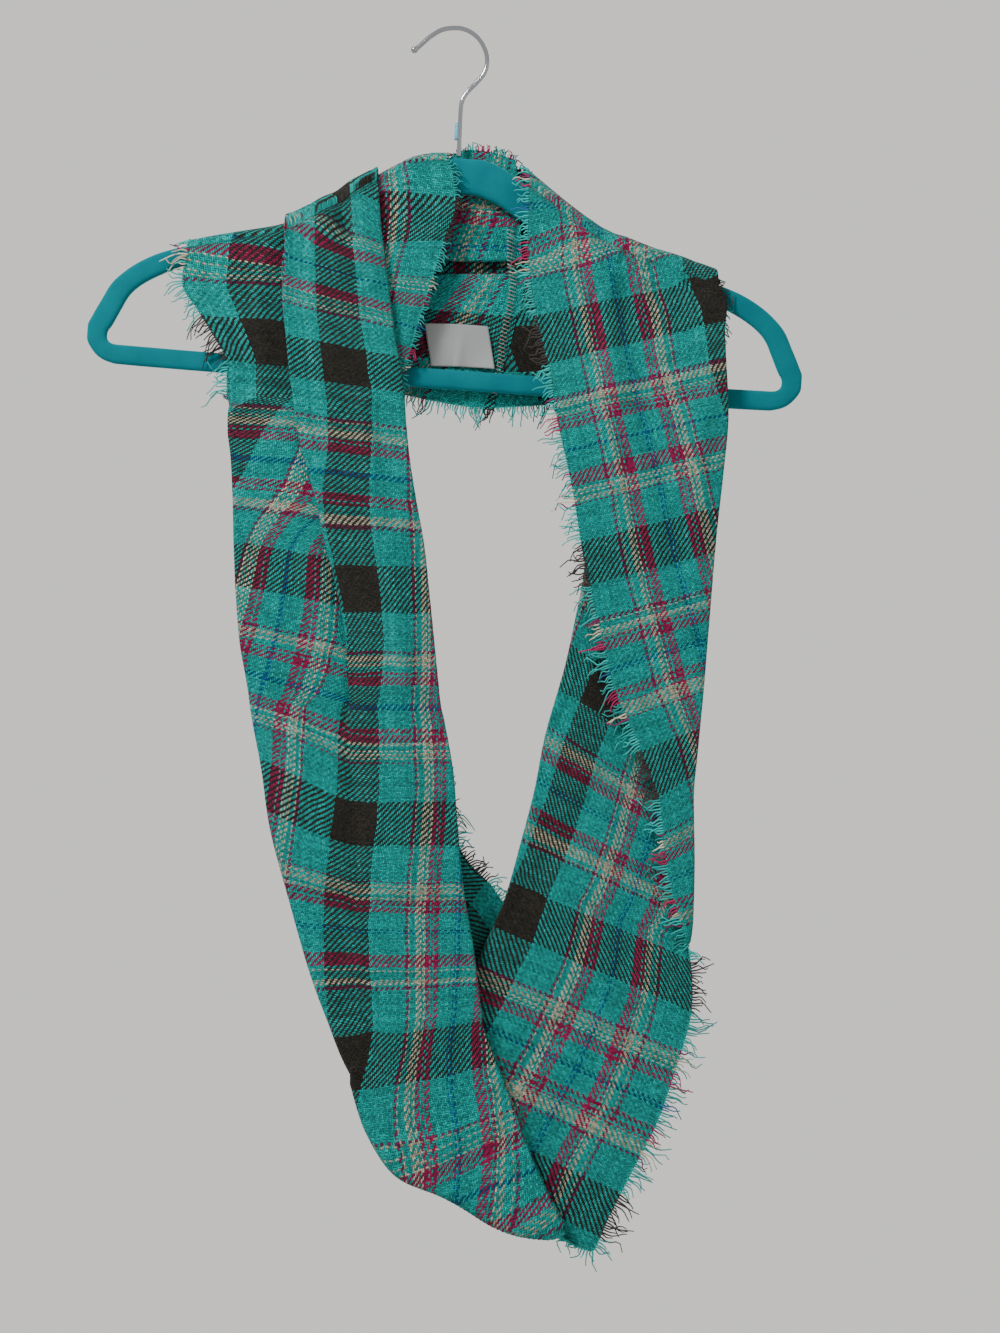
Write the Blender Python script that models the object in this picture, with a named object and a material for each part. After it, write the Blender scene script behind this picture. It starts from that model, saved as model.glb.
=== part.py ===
"""Infinity scarf of brushed twill, hung over a flocked hanger with a wire hook.

The cloth is one looped strip.  Each stretch of it is a wall worked out from cross-sections:
a section is a zigzag of flat runs joined by round folds, and a table gives the folds' places.
Origin: inner top of the hook.  +X right, -Y front, +Z up.  Lengths in the tables are in mm.
"""
import math

import bpy
from mathutils import Vector

MM = 0.001

# cloth
CLOTH_WALL = 1.5
SEAM_GAP = 0.32
FOLD_MIN = 1.3
NECK_X = 18.0
# fringe
FRINGE_WALL = 1.1
FRINGE_BACKING = 1.8
FRINGE_PITCH = 16.0
# hanger, in its own frame before it tilts on the rail
HANGER_TILT = math.radians(4.1)
HANGER_CENTRE = 7.4
HANGER_THICK = 6.4
HOOK_RADIUS = 1.5
# label and overlocked seam
LABEL_WALL = 0.5
LABEL_Y = 4.5
SEAM_WIDTH = 3.6
SEAM_WALL = 0.8
SEAM_Y = 4.5


def table(names, rows):
    """A short table: column names, then one row for each section."""
    return {"names": names.split(), "rows": rows}


def pick(data, u):
    """The table's row at position u between its rows, smoothly interpolated, as a dictionary."""
    rows = data["rows"]
    last = len(rows) - 1
    i = min(max(int(math.floor(u)), 0), last - 1)
    f = u - i
    r0 = rows[max(i - 1, 0)]
    r1 = rows[i]
    r2 = rows[i + 1]
    r3 = rows[min(i + 2, last)]
    out = {}
    for n, name in enumerate(data["names"]):
        a, b, c, d = r0[n], r1[n], r2[n], r3[n]
        m1 = 0.5 * (c - a)
        m2 = 0.5 * (d - b)
        if (b - a) * (c - b) <= 0.0:
            m1 = 0.0
        if (c - b) * (d - c) <= 0.0:
            m2 = 0.0
        g = f * f
        h = g * f
        out[name] = b * (2 * h - 3 * g + 1) + m1 * (h - 2 * g + f) + c * (3 * g - 2 * h) + m2 * (h - g)
    return out


def section(stops, depths, cuts, bows):
    """Points (x, z, depth) of one section: flat runs between stops, with a round fold at each.

    stops: the edge, the folds and the far edge as (x, z).
    depths: for each run its (start, end) distance from the hanger's middle plane.
    cuts: how many parts each run is cut in.  bows: how far each run swells outward in the middle.
    """
    runs = len(depths)
    dirs = []
    for i in range(runs):
        step = Vector(stops[i + 1]) - Vector(stops[i])
        dirs.append(step / max(step.length, 4.0))
    radius = [0.0] * (runs + 1)
    for i in range(1, runs):
        radius[i] = max(abs(depths[i][0] - depths[i - 1][1]) / 2.0, FOLD_MIN)
    out = []
    for i in range(runs):
        a = Vector(stops[i]) + dirs[i] * radius[i]
        b = Vector(stops[i + 1]) - dirs[i] * radius[i + 1]
        d1, d2 = depths[i]
        for k in range(cuts[i] + 1):
            f = k / cuts[i]
            p = a.lerp(b, f)
            swell = bows[i] * math.sin(math.pi * f)
            out.append((p.x, p.y, d1 + (d2 - d1) * f + swell))
        if i < runs - 1:
            q = Vector(stops[i + 1])
            e1, e2 = dirs[i], dirs[i + 1]
            d3 = depths[i + 1][0]
            mid = (d2 + d3) / 2.0
            c = math.cos(math.radians(45.0))
            r = radius[i + 1]
            p = q - e1 * r * (1.0 - c)
            out.append((p.x, p.y, mid + (d2 - mid) * c))
            out.append((q.x, q.y, mid))
            p = q + e2 * r * (1.0 - c)
            out.append((p.x, p.y, mid + (d3 - mid) * c))
    return out


def ridge(x):
    """Height of the line that the cloth turns round above the hanger's arms, at x."""
    rows = RIDGE["rows"]
    for (x0, z0), (x1, z1) in zip(rows, rows[1:]):
        if x <= x1:
            break
    return z0 + (z1 - z0) * (x - x0) / (x1 - x0)


def turned(points, over, ride=0.0, drop=0.0):
    """Section points placed in space; over is the angle round the hanger's arm.

    -90 lies in front of the hanger, 0 on top of its arm and +90 behind it.  ride 1 puts every
    point on the arm's own line less drop, ride 0 leaves it at its own height.  Behind the neck
    the cloth stands level instead of coming down.
    """
    s = math.sin(math.radians(over))
    c = math.cos(math.radians(over))
    out = []
    for x, z, d in points:
        neck = min(max(1.0 - (abs(x - NECK_X) - 25.0) / 40.0, 0.0), 1.0)
        stand = neck * (d * (1.0 - c) + drop) * ride if over > 0.0 else 0.0
        out.append(Vector((x, d * s, z + (ridge(x) - drop - z) * ride + d * c + stand)))
    return out


LEFT_SHOULDER = table("over in_x in_z hem_x hem_z right_x right_z crest_x crest_z "
                      "tuck_x tuck_z out_x out_z depth pitch dip ride drop", [
    (0, -5.6, -82.8, -70.1, -109.6, -48.8, -96.4, -106.4, -127.1,
     -77.6, -114.0, -166.5, -137.3, 6.0, 2.9, 0, 1, 0),
    (-30, -5.6, -82.8, -70.1, -109.6, -48.8, -96.4, -106.4, -127.1,
     -77.6, -114.0, -166.5, -137.3, 6.0, 2.9, 0, 1, 0),
    (-60, -5.6, -82.8, -70.1, -109.6, -48.8, -96.4, -106.4, -127.1,
     -77.6, -114.0, -166.5, -137.3, 6.0, 2.9, 0, 1, 0),
    (-90, -5.6, -82.8, -70.1, -109.6, -48.8, -96.4, -106.4, -127.1,
     -77.6, -114.0, -166.5, -137.3, 6.0, 2.9, 0, 1, 0),
    (-90, 0.0, -108.3, -72.6, -135.8, -45.7, -127.7, -106.4, -146.5,
     -77.0, -142.1, -170.3, -159.0, 7.0, 3.0, 0, 0, 0),
    (-90, -8.8, -138.3, -73.2, -168.4, -40.7, -167.1, -107.7, -168.4,
     -78.2, -170.3, -160.9, -175.9, 8.0, 3.1, 0.5, 0, 0),
    (-90, -20.0, -174.7, -70.1, -190.3, -36.9, -195.3, -105.2, -193.4,
     -75.7, -193.4, -150.2, -193.4, 9.0, 3.4, 1.5, 0, 0),
    (-90, -29.4, -206.6, -66.4, -211.0, -33.8, -213.5, -103.3, -213.5,
     -73.9, -213.5, -142.7, -209.7, 9.5, 3.5, 3, 0, 0),
    (-90, -36.3, -231.0, -65.1, -231.0, -31.3, -231.0, -100.8, -231.0,
     -70.7, -231.0, -142.7, -229.7, 9.5, 3.5, 3.5, 0, 0),
])
BACK_LEFT = table("over in_x in_z hem_x hem_z right_x right_z crest_x crest_z "
                  "tuck_x tuck_z out_x out_z depth pitch dip ride drop", [
    (0, -5.6, -82.8, -70.1, -109.6, -48.8, -96.4, -106.4, -127.1,
     -77.6, -114.0, -166.5, -137.3, 6.0, 2.9, 0, 1, 0),
    (30, -5.6, -82.8, -70.1, -109.6, -48.8, -96.4, -106.4, -127.1,
     -77.6, -114.0, -166.5, -137.3, 6.0, 2.9, 0, 1, 0),
    (60, -5.6, -82.8, -70.1, -109.6, -48.8, -96.4, -106.4, -127.1,
     -77.6, -114.0, -166.5, -137.3, 6.0, 2.9, 0, 1, 0),
    (90, -5.6, -82.8, -70.1, -109.6, -48.8, -96.4, -106.4, -127.1,
     -77.6, -114.0, -166.5, -137.3, 6.0, 2.9, 0, 1, 0),
    (90, -0.6, -75.7, -60.1, -130.8, -40.1, -113.3, -91.4, -152.7,
     -69.5, -142.1, -144.6, -171.5, 6.2, 2.9, 0, 0, 0),
    (90, 8.8, -73.2, -22.5, -140.2, -16.3, -112.1, -53.8, -177.8,
     -35.1, -152.7, -97.7, -199.7, 6.2, 2.9, 0, 0, 0),
    (90, 21.3, -74.5, 8.8, -143.4, 11.9, -108.9, -3.8, -190.3,
     2.5, -150.9, -41.3, -224.7, 6.2, 2.9, 0, 0, 0),
    (90, 28.2, -76.4, 31.9, -143.4, 30.0, -108.9, 36.9, -190.3,
     35.7, -150.9, 13.8, -236.0, 6.2, 2.9, 0, 0, 0),
])
LEFT_LEG = table("left_x left_z crest_x tuck right_x right_z hem_x in_x out_x out_z "
                 "front left flap flap_end", [
    (-137.7, -231.0, -100.8, 30.0, -31.3, -231.0, -65.1, -36.3, -142.7, -229.7, 16.5, 9.5, 9.3, 9),
    (-140.8, -236.0, -100.2, 28.8, -31.0, -236.0, -65.7, -36.9, -141.5,
     -232.9, 16.5, 9.5, 8.2, 6.2),
    (-141.8, -242.3, -99.5, 27.5, -30.7, -242.3, -66.4, -37.6, -134.6, -237.3, 16.5, 9.5, 6.6, 6),
    (-142.1, -251.0, -98.3, 26.3, -30.0, -251.0, -66.4, -37.6, -123.9, -244.8, 16.5, 9.5, 6, 6),
    (-140.2, -268.6, -93.9, 23.8, -28.2, -268.6, -65.1, -35.7, -110.2, -259.2, 16.5, 9.5, 6, 6),
    (-139.0, -293.6, -87.0, 21.3, -24.4, -293.6, -60.7, -31.9, -97.7, -284.2, 16.5, 9.5, 6, 6),
    (-138.3, -321.8, -80.8, 11.3, -19.4, -321.8, -59.5, -27.5, -85.1, -306.1, 16.5, 9.5, 6, 6),
    (-137.1, -349.9, -73.9, 7.5, -16.3, -349.9, -58.8, -23.8, -74.5, -321.8, 16.5, 10.5, 7, 6),
    (-134.6, -381.2, -68.2, 5.6, -13.1, -381.2, -53.8, -20.7, -58.8, -349.9, 16.5, 11.0, 8, 6),
    (-129.6, -412.5, -66.4, 3.1, -10.0, -412.5, -47.0, -16.9, -43.8, -375.0, 16.5, 11.0, 8, 5),
    (-128.3, -422.6, -65.7, 0.0, -8.8, -422.6, -45.7, -15.7, -42.6, -383.1, 16.5, 11.0, 8, 5),
    (-126.5, -433.8, -65.1, -3.1, -6.3, -433.8, -43.8, -13.8, -40.1, -392.5, 16.5, 11.3, 8.5, 5),
    (-120.8, -462.6, -65.1, -7.5, -1.3, -462.6, -36.9, -8.8, -30.7, -414.4, 16, 14, 9.5, 5),
    (-115.2, -500.2, -64.5, -7.5, 1.3, -495.2, -33.2, -6.3, -22.5, -437.6, 15, 15, 9.5, 4),
    (-103.3, -544.0, -61.3, -7.5, 5.0, -534.6, -25.0, -2.5, -10.0, -465.7, 15, 15, 9.5, 3),
    (-90.8, -587.8, -53.8, -7.5, 11.3, -572.2, -15.0, 3.8, -2.5, -497.0, 15, 15, 8.5, 0),
    (-77.0, -625.4, -44.4, -7.5, 15.0, -601.6, -6.9, 7.5, 5.6, -517.7, 15, 15, 7, -4),
    (-65.1, -659.8, -35.1, -7.5, 17.5, -622.9, -0.6, 10.0, 21.3, -534.6, 15, 15, 5, -8),
])
BOTTOM = table("left_x left_z right_x right_z hem in_back turn_x turn_z out_x out_z "
               "base base_end behind out_depth", [
    (-65.1, -659.8, 17.5, -622.9, 18.2, 7.5, -58.2, -649.8, 21.3, -534.6, 5, 4, 3.9, -8),
    (-56.3, -687.3, 25.7, -644.2, 16.3, 6.9, -52.0, -667.9, 40.1, -562.8, 4, 3, -3, -12),
    (-37.6, -714.9, 36.3, -672.3, 15.0, 6.3, -47.0, -680.5, 62.6, -600.3, 3, 2.2, -8, -12),
    (-5.6, -729.3, 46.3, -699.2, 13.8, 5.6, -43.8, -687.3, 82.6, -631.6, 2, 2, -9, -9.5),
    (21.9, -746.2, 57.6, -723.0, 12.5, 5.0, -40.7, -688.6, 85.1, -634.8, 2, 2, -7.75, -7.75),
    (46.3, -755.6, 66.4, -738.1, 10.6, 4.4, -36.9, -685.5, 87.6, -632.3, 2, 2, -6, -6),
    (66.4, -761.2, 76.4, -752.5, 8.1, 3.8, -26.3, -670.4, 91.4, -616.6, 2, 2, -6, -6),
])
BASE = table("in_x in_z turn_x turn_z back_x back_z out_x out_z base behind", [
    (59.5, -751.2, -23.8, -666.7, 93.3, -612.9, 85.1, -616.6, 2, 8),
    (70.7, -758.1, -21.9, -662.9, 94.5, -610.4, 86.4, -614.1, 2, 8),
    (83.9, -763.1, -19.4, -656.7, 95.8, -607.2, 87.6, -611.0, 2, 8),
    (96.4, -740.6, -13.8, -644.2, 101.4, -600.3, 92.6, -603.5, 2, 8),
    (109.5, -714.9, -6.3, -625.4, 108.9, -592.8, 97.7, -594.7, 2, 7.5),
    (125.2, -684.2, 4.4, -601.6, 117.1, -585.3, 100.8, -584.1, 2, 7),
    (137.1, -650.4, 16.3, -575.3, 123.9, -581.6, 96.4, -572.8, 2, 6.5),
    (146.5, -617.9, 25.0, -556.5, 128.3, -577.2, 90.1, -562.1, 2, 6),
    (147.7, -592.8, 30.0, -544.0, 130.8, -574.0, 82.6, -551.5, 2, 5.5),
    (145.9, -572.2, 35.7, -525.2, 134.0, -559.6, 81.4, -539.0, 2, 5),
])
RIGHT_LEG = table("in_x in_z right_x right_z turn_x turn_z back_x back_z out_x "
                  "out_z flap base behind", [
    (141.5, -566.5, 147.7, -571.5, 35.7, -524.6, 134.0, -559.0, 81.4, -538.4, 6, 2, 5),
    (130.2, -520.2, 149.0, -520.2, 48.2, -478.3, 143.4, -512.7, 87.0, -493.9, 7, 2.5, 4),
    (126.5, -484.5, 148.4, -481.4, 55.7, -440.7, 146.5, -475.1, 90.1, -459.5, 8, 3, 3.7),
    (115.2, -451.3, 150.9, -450.1, 67.6, -398.8, 147.7, -442.6, 90.1, -418.8, 9, 4, 3.5),
    (98.3, -412.5, 154.6, -410.0, 73.9, -370.0, 150.2, -401.3, 91.4, -381.2, 10, 5.5, 3.5),
    (88.3, -371.8, 157.8, -368.7, 78.9, -343.7, 152.7, -359.9, 93.3, -340.5, 11, 7, 3.5),
    (79.5, -332.4, 161.5, -321.8, 82.0, -312.4, 155.2, -317.4, 95.2, -303.0, 12.5, 9, 3.5),
    (72.0, -287.3, 165.9, -279.8, 83.3, -271.7, 157.8, -277.9, 97.7, -265.4, 14.5, 11, 3.5),
    (62.6, -244.8, 169.0, -242.3, 84.5, -234.1, 162.8, -240.4, 115.2, -234.1, 16.5, 13, 3.5),
    (58.2, -217.2, 167.8, -213.5, 85.1, -203.4, 163.4, -209.7, 147.7, -207.2, 16.5, 13, 3.5),
])
RIGHT_SHOULDER = table("over in_x in_z right_x right_z turn_x turn_z out_x out_z "
                       "depth pitch ride", [
    (-90, 58.2, -217.2, 167.8, -213.5, 85.1, -203.4, 162.1, -209.7, 9.5, 3.5, 0),
    (-90, 53.2, -196.6, 167.1, -190.3, 86.4, -182.2, 164.6, -188.4, 8, 3.3, 0),
    (-90, 48.8, -175.9, 168.4, -175.9, 87.0, -162.1, 167.1, -174.7, 7, 3, 0),
    (-90, 44.4, -144.6, 167.8, -170.3, 88.9, -148.4, 165.3, -169.6, 6.3, 2.9, 0),
    (-90, 45.1, -99.3, 163.4, -161.5, 91.4, -135.7, 160.9, -160.5, 6.0, 2.9, 1),
    (-60, 45.1, -99.3, 163.4, -161.5, 91.4, -135.7, 160.9, -160.5, 6.0, 2.9, 1),
    (-30, 45.1, -99.3, 163.4, -161.5, 91.4, -135.7, 160.9, -160.5, 6.0, 2.9, 1),
    (0, 45.1, -99.3, 163.4, -161.5, 91.4, -135.7, 160.9, -160.5, 6.0, 2.9, 1),
])
BACK_RIGHT = table("over in_x in_z right_x right_z turn_x turn_z out_x out_z depth "
                   "pitch ride ease drop", [
    (0, 45.1, -99.3, 163.4, -161.5, 91.4, -135.7, 160.9, -160.5, 6.0, 2.9, 1, 0, 0),
    (30, 45.1, -99.3, 163.4, -161.5, 91.4, -135.7, 160.9, -160.5, 6.0, 2.9, 1, 0, 0),
    (60, 45.1, -99.3, 163.4, -161.5, 91.4, -135.7, 160.9, -160.5, 6.0, 2.9, 1, 0, 0),
    (90, 45.1, -99.3, 163.4, -161.5, 91.4, -135.7, 160.9, -160.5, 6.0, 2.9, 1, 0, 0),
    (90, 40.7, -87.0, 154.6, -168.4, 87.6, -144.6, 154.6, -169.6, 6.0, 2.9, 1, 0.2, 9),
    (90, 36.3, -80.8, 108.9, -196.6, 68.2, -152.7, 108.9, -221.6, 6.2, 2.9, 0, 0.8, 9),
    (90, 32.6, -77.6, 74.5, -196.6, 55.7, -152.7, 68.2, -232.2, 6.2, 2.9, 0, 1.5, 9),
    (90, 28.8, -76.4, 37.5, -190.3, 36.3, -150.9, 14.4, -236.0, 6.2, 2.9, 0, 2.0, 9),
])
RIDGE = table("x z", [
    (-185.3, -141.8), (-166.5, -137.3), (-148.4, -133.8), (-126.5, -130.4), (-106.4, -127.1),
    (-90.8, -121.0), (-80.8, -115.8), (-72.6, -111.1), (-56.3, -101.1), (-43.8, -93.4),
    (-28.2, -85.8), (-16.3, -82.8), (-9.4, -82.6), (-5.6, -82.8), (0.0, -83.2), (42.6, -97.3),
    (47.6, -101.2), (55.7, -108.1), (67.6, -118.0), (78.9, -126.9), (95.8, -138.3),
    (121.4, -147.7), (146.5, -155.3), (163.4, -161.5), (172.8, -165.3),
])


def shoulder_rows(data, per, extra):
    """Sections of a left stretch that goes round the arm: three layers at the hem and the tuck."""
    rows = []
    for u in stations(data, per, extra):
        t = pick(data, u)
        low, p = t["depth"], t["pitch"]
        mid, top = low + p, low + 2.0 * p
        stops = [(t["in_x"], t["in_z"]), (t["hem_x"], t["hem_z"]), (t["right_x"], t["right_z"]),
                 (t["crest_x"], t["crest_z"]), (t["tuck_x"], t["tuck_z"]), (t["out_x"], t["out_z"])]
        depths = [(low, low), (mid, mid), (top, top), (mid, mid), (low, low - t["dip"])]
        bow = 1.5 * (p - 2.4)
        points = section(stops, depths, (4, 2, 4, 2, 5), (0, 0, bow, 0, 0))
        rows.append(turned(points, t["over"], t["ride"], t.get("drop", 0.0)))
    return rows


def left_leg_rows(data, per):
    """Sections down the left leg: hem behind the right fold, a fading tuck, flap behind the left."""
    rows = []
    for u in stations(data, per):
        t = pick(data, u)
        left = Vector((t["left_x"], t["left_z"]))
        right = Vector((t["right_x"], t["right_z"]))
        slope = (right.y - left.y) / (right.x - left.x)

        def at(x):
            return (x, left.y + slope * (x - left.x))
        front, low = t["front"], t["left"]
        step = (front - low) / 2.0
        stops = [at(t["in_x"]), at(t["hem_x"]), tuple(right), at(t["crest_x"]),
                 at(t["crest_x"] + t["tuck"]), tuple(left), (t["out_x"], t["out_z"])]
        depths = [(front - 7.0, front - 7.0), (front - 3.5, front - 3.5), (front, front),
                  (front - 0.85 * step, front - 1.15 * step), (low, low), (t["flap"], t["flap_end"])]
        rows.append(turned(section(stops, depths, (2, 2, 5, 2, 4, 4), (0, 0, 2.5, 0, 1.5, 0)), -90))
    return rows


def bottom_rows(data, per):
    """Sections round the bottom turn: the front goes under and comes back as the base panel."""
    rows = []
    for u in stations(data, per):
        t = pick(data, u)
        left = Vector((t["left_x"], t["left_z"]))
        right = Vector((t["right_x"], t["right_z"]))
        along = (left - right).normalized()
        hem = right + along * t["hem"]
        edge = right + along * t["in_back"]
        stops = [tuple(edge), tuple(hem), tuple(right), tuple(left), (t["turn_x"], t["turn_z"]),
                 (t["out_x"], t["out_z"])]
        depths = [(8, 8), (11.5, 11.5), (15, 15), (t["base"], t["base_end"]),
                  (t["behind"], t["out_depth"])]
        rows.append(turned(section(stops, depths, (2, 2, 6, 5, 5), (0, 0, 2.0, 0, 0)), -90))
    return rows


def base_rows(data, per):
    """Sections up the base panel: its frayed edge, the left fold and two layers behind."""
    rows = []
    for u in stations(data, per):
        t = pick(data, u)
        base = t["base"]
        back = base - t["behind"]
        stops = [(t["in_x"], t["in_z"]), (t["turn_x"], t["turn_z"]), (t["back_x"], t["back_z"]),
                 (t["out_x"], t["out_z"])]
        depths = [(base, base), (back, back), (back - 3.5, back - 3.5)]
        rows.append(turned(section(stops, depths, (7, 5, 3), (0, 0, 0)), -90))
    return rows


def right_leg_rows(data, per):
    """Sections up the right leg: front flap, base panel, and two layers folded behind it."""
    rows = []
    for u in stations(data, per):
        t = pick(data, u)
        base = t["base"]
        stops = [(t["in_x"], t["in_z"]), (t["right_x"], t["right_z"]), (t["turn_x"], t["turn_z"]),
                 (t["back_x"], t["back_z"]), (t["out_x"], t["out_z"])]
        back = base - t["behind"]
        depths = [(t["flap"] + 0.6, t["flap"]), (base, base), (back, back), (back - 3.3, back - 3.9)]
        rows.append(turned(section(stops, depths, (4, 6, 5, 3), (1.5, 0, 0, 0)), -90))
    return rows


def right_shoulder_rows(data, per, extra):
    """Sections of a right stretch that goes round the arm: flap, panel and back layer."""
    rows = []
    for u in stations(data, per, extra):
        t = pick(data, u)
        low, p = t["depth"], t["pitch"]
        mid, top = low + p, low + 2.0 * p
        ease = t.get("ease", 0.0)
        stops = [(t["in_x"], t["in_z"]), (t["right_x"], t["right_z"]), (t["turn_x"], t["turn_z"]),
                 (t["out_x"], t["out_z"])]
        depths = [(top - ease, top), (mid, mid), (low, low)]
        points = section(stops, depths, (6, 5, 5), (0.5 * (p - 2.4), 0, 0))
        rows.append(turned(points, t["over"], t["ride"], t.get("drop", 0.0)))
    return rows


def stations(data, per, extra=()):
    """Positions along a table: per of them between two rows, but 1 in the spans listed in extra."""
    last = len(data["rows"]) - 1
    out = []
    for i in range(last):
        n = 1 if i in extra else per
        out += [i + k / n for k in range(n)]
    return out + [float(last)]


def trimmed(rows, start=True, end=True):
    """The rows with half a seam gap taken off the ends that meet a neighbour."""
    rows = [list(r) for r in rows]
    for on, a, b in ((start, 0, 1), (end, len(rows) - 1, len(rows) - 2)):
        if not on:
            continue
        for i, p in enumerate(rows[a]):
            step = rows[b][i] - p
            rows[a][i] = p + step * min(0.5 * SEAM_GAP / max(step.length, 0.001), 0.45)
    return rows


def normals(rows):
    """Unit normal of the mid-surface at each grid point."""
    out = []
    nr, nc = len(rows), len(rows[0])
    for r in range(nr):
        line = []
        for c in range(nc):
            du = rows[min(r + 1, nr - 1)][c] - rows[max(r - 1, 0)][c]
            if r == 0:
                du = rows[1][c] * 4.0 - rows[0][c] * 3.0 - rows[2][c]
            if r == nr - 1:
                du = rows[r][c] * 3.0 - rows[r - 1][c] * 4.0 + rows[r - 2][c]
            dv = rows[r][min(c + 1, nc - 1)] - rows[r][max(c - 1, 0)]
            n = dv.cross(du)
            if n.length < 1e-6:
                n = Vector((0.0, -1.0, 0.0))
            line.append(n.normalized())
        out.append(line)
    return out


def material(name, colour, roughness, metallic, alpha=1.0):
    """A plain Principled material."""
    mat = bpy.data.materials.new(name)
    mat.use_nodes = True
    shader = mat.node_tree.nodes["Principled BSDF"]
    shader.inputs["Base Color"].default_value = (*colour, 1.0)
    shader.inputs["Roughness"].default_value = roughness
    shader.inputs["Metallic"].default_value = metallic
    shader.inputs["Alpha"].default_value = alpha
    return mat


def make(name, verts, faces, mat, smooth=True):
    """A named mesh object with its material; verts are in mm."""
    mesh = bpy.data.meshes.new(name)
    mesh.from_pydata([tuple(v * MM for v in p) for p in verts], [], faces)
    mesh.validate()
    mesh.update()
    obj = bpy.data.objects.new(name, mesh)
    bpy.context.scene.collection.objects.link(obj)
    mesh.materials.append(mat)
    if smooth:
        for poly in mesh.polygons:
            poly.use_smooth = True
    fix_outward(mesh)
    return obj


def fix_outward(mesh):
    """Turn the faces outward if the closed mesh encloses a negative volume."""
    volume = 0.0
    mesh.calc_loop_triangles()
    for tri in mesh.loop_triangles:
        a, b, c = (mesh.vertices[i].co for i in tri.vertices)
        volume += a.dot(b.cross(c))
    if volume < 0.0:
        mesh.flip_normals()


def wall(name, rows, mat):
    """A closed wall of CLOTH_WALL round the mid-surface given by the rows."""
    ns = normals(rows)
    nr, nc = len(rows), len(rows[0])
    half = CLOTH_WALL / 2.0
    verts = []
    for side in (1.0, -1.0):
        for r in range(nr):
            for c in range(nc):
                verts.append(rows[r][c] + ns[r][c] * half * side)
    m = nr * nc
    faces = []
    for r in range(nr - 1):
        for c in range(nc - 1):
            a = r * nc + c
            faces.append((a, a + 1, a + nc + 1, a + nc))
            faces.append((m + a, m + a + nc, m + a + nc + 1, m + a + 1))
    for c in range(nc - 1):
        a = c
        faces.append((a + 1, a, m + a, m + a + 1))
        a = (nr - 1) * nc + c
        faces.append((a, a + 1, m + a + 1, m + a))
    for r in range(nr - 1):
        a = r * nc
        faces.append((a, a + nc, m + a + nc, m + a))
        a = r * nc + nc - 1
        faces.append((a + nc, a, m + a, m + a + nc))
    return make(name, verts, faces, mat)


def edge_line(rows, outer):
    """Edge points with their outward and normal directions; outer picks the strip's outer edge."""
    ns = normals(rows)
    c, d = (-1, -2) if outer else (0, 1)
    out = []
    last = len(rows) - 1
    for i, row in enumerate(rows):
        along = (rows[min(i + 1, last)][c] - rows[max(i - 1, 0)][c]).normalized()
        away = row[c] - row[d]
        away -= along * away.dot(along)
        out.append((row[c], away.normalized(), ns[i][c]))
    return out


def fringe_steps(line):
    """Cut each span of the edge into locks and the short gaps between them."""
    out = [line[0]]
    locks = []
    for a, b in zip(line, line[1:]):
        length = (b[0] - a[0]).length
        n = int(round(length / FRINGE_PITCH))
        if length > 4.0:
            n = max(n, 1)
        cuts = []
        for k in range(n):
            cuts += [((k + 0.7) / n, True), ((k + 1.0) / n, False)]
        if not cuts:
            cuts = [(1.0, False)]
        for f, lock in cuts:
            out.append(tuple(a[j].lerp(b[j], f) for j in range(3)))
            locks.append(lock)
    return out, locks


def fringe(name, line, length, mat, lean=0.25):
    """A frayed edge: a narrow backing strip whose outer side runs out into tapering locks."""
    pts, locks = fringe_steps(line)
    half = FRINGE_WALL / 2.0
    verts = []
    faces = []
    inner, root = [], []
    for p, out, n in pts:
        out = out.normalized()
        n = n.normalized()
        for store, dist in ((inner, SEAM_GAP), (root, SEAM_GAP + FRINGE_BACKING)):
            store.append(len(verts))
            verts.append(p + out * dist + n * half)
            verts.append(p + out * dist - n * half)
    count = len(pts)
    for k in range(count - 1):
        i, j, r, s = inner[k], inner[k + 1], root[k], root[k + 1]
        faces += [(i, j, s, r), (i + 1, r + 1, s + 1, j + 1), (i + 1, j + 1, j, i)]
        if not locks[k]:
            faces.append((r, s, s + 1, r + 1))
            continue
        a, b = pts[k], pts[k + 1]
        out = (a[1] + b[1]).normalized()
        n = (a[2] + b[2]).normalized()
        reach = SEAM_GAP + FRINGE_BACKING + length * (0.85 + 0.15 * math.sin(k * 2.4 + 1.0))
        tip = (a[0] + b[0]) / 2.0 + out * reach + (b[0] - a[0]) * lean * math.cos(k * 1.7)
        t = len(verts)
        verts += [tip + n * half * 0.5, tip - n * half * 0.5]
        faces += [(r, s, t), (r + 1, t + 1, s + 1), (r, t, t + 1, r + 1), (t, s, s + 1, t + 1)]
    for k, flip in ((0, False), (count - 1, True)):
        i, r = inner[k], root[k]
        quad = (i, r, r + 1, i + 1)
        faces.append(quad[::-1] if flip else quad)
    return make(name, verts, faces, mat, smooth=False)


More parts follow.
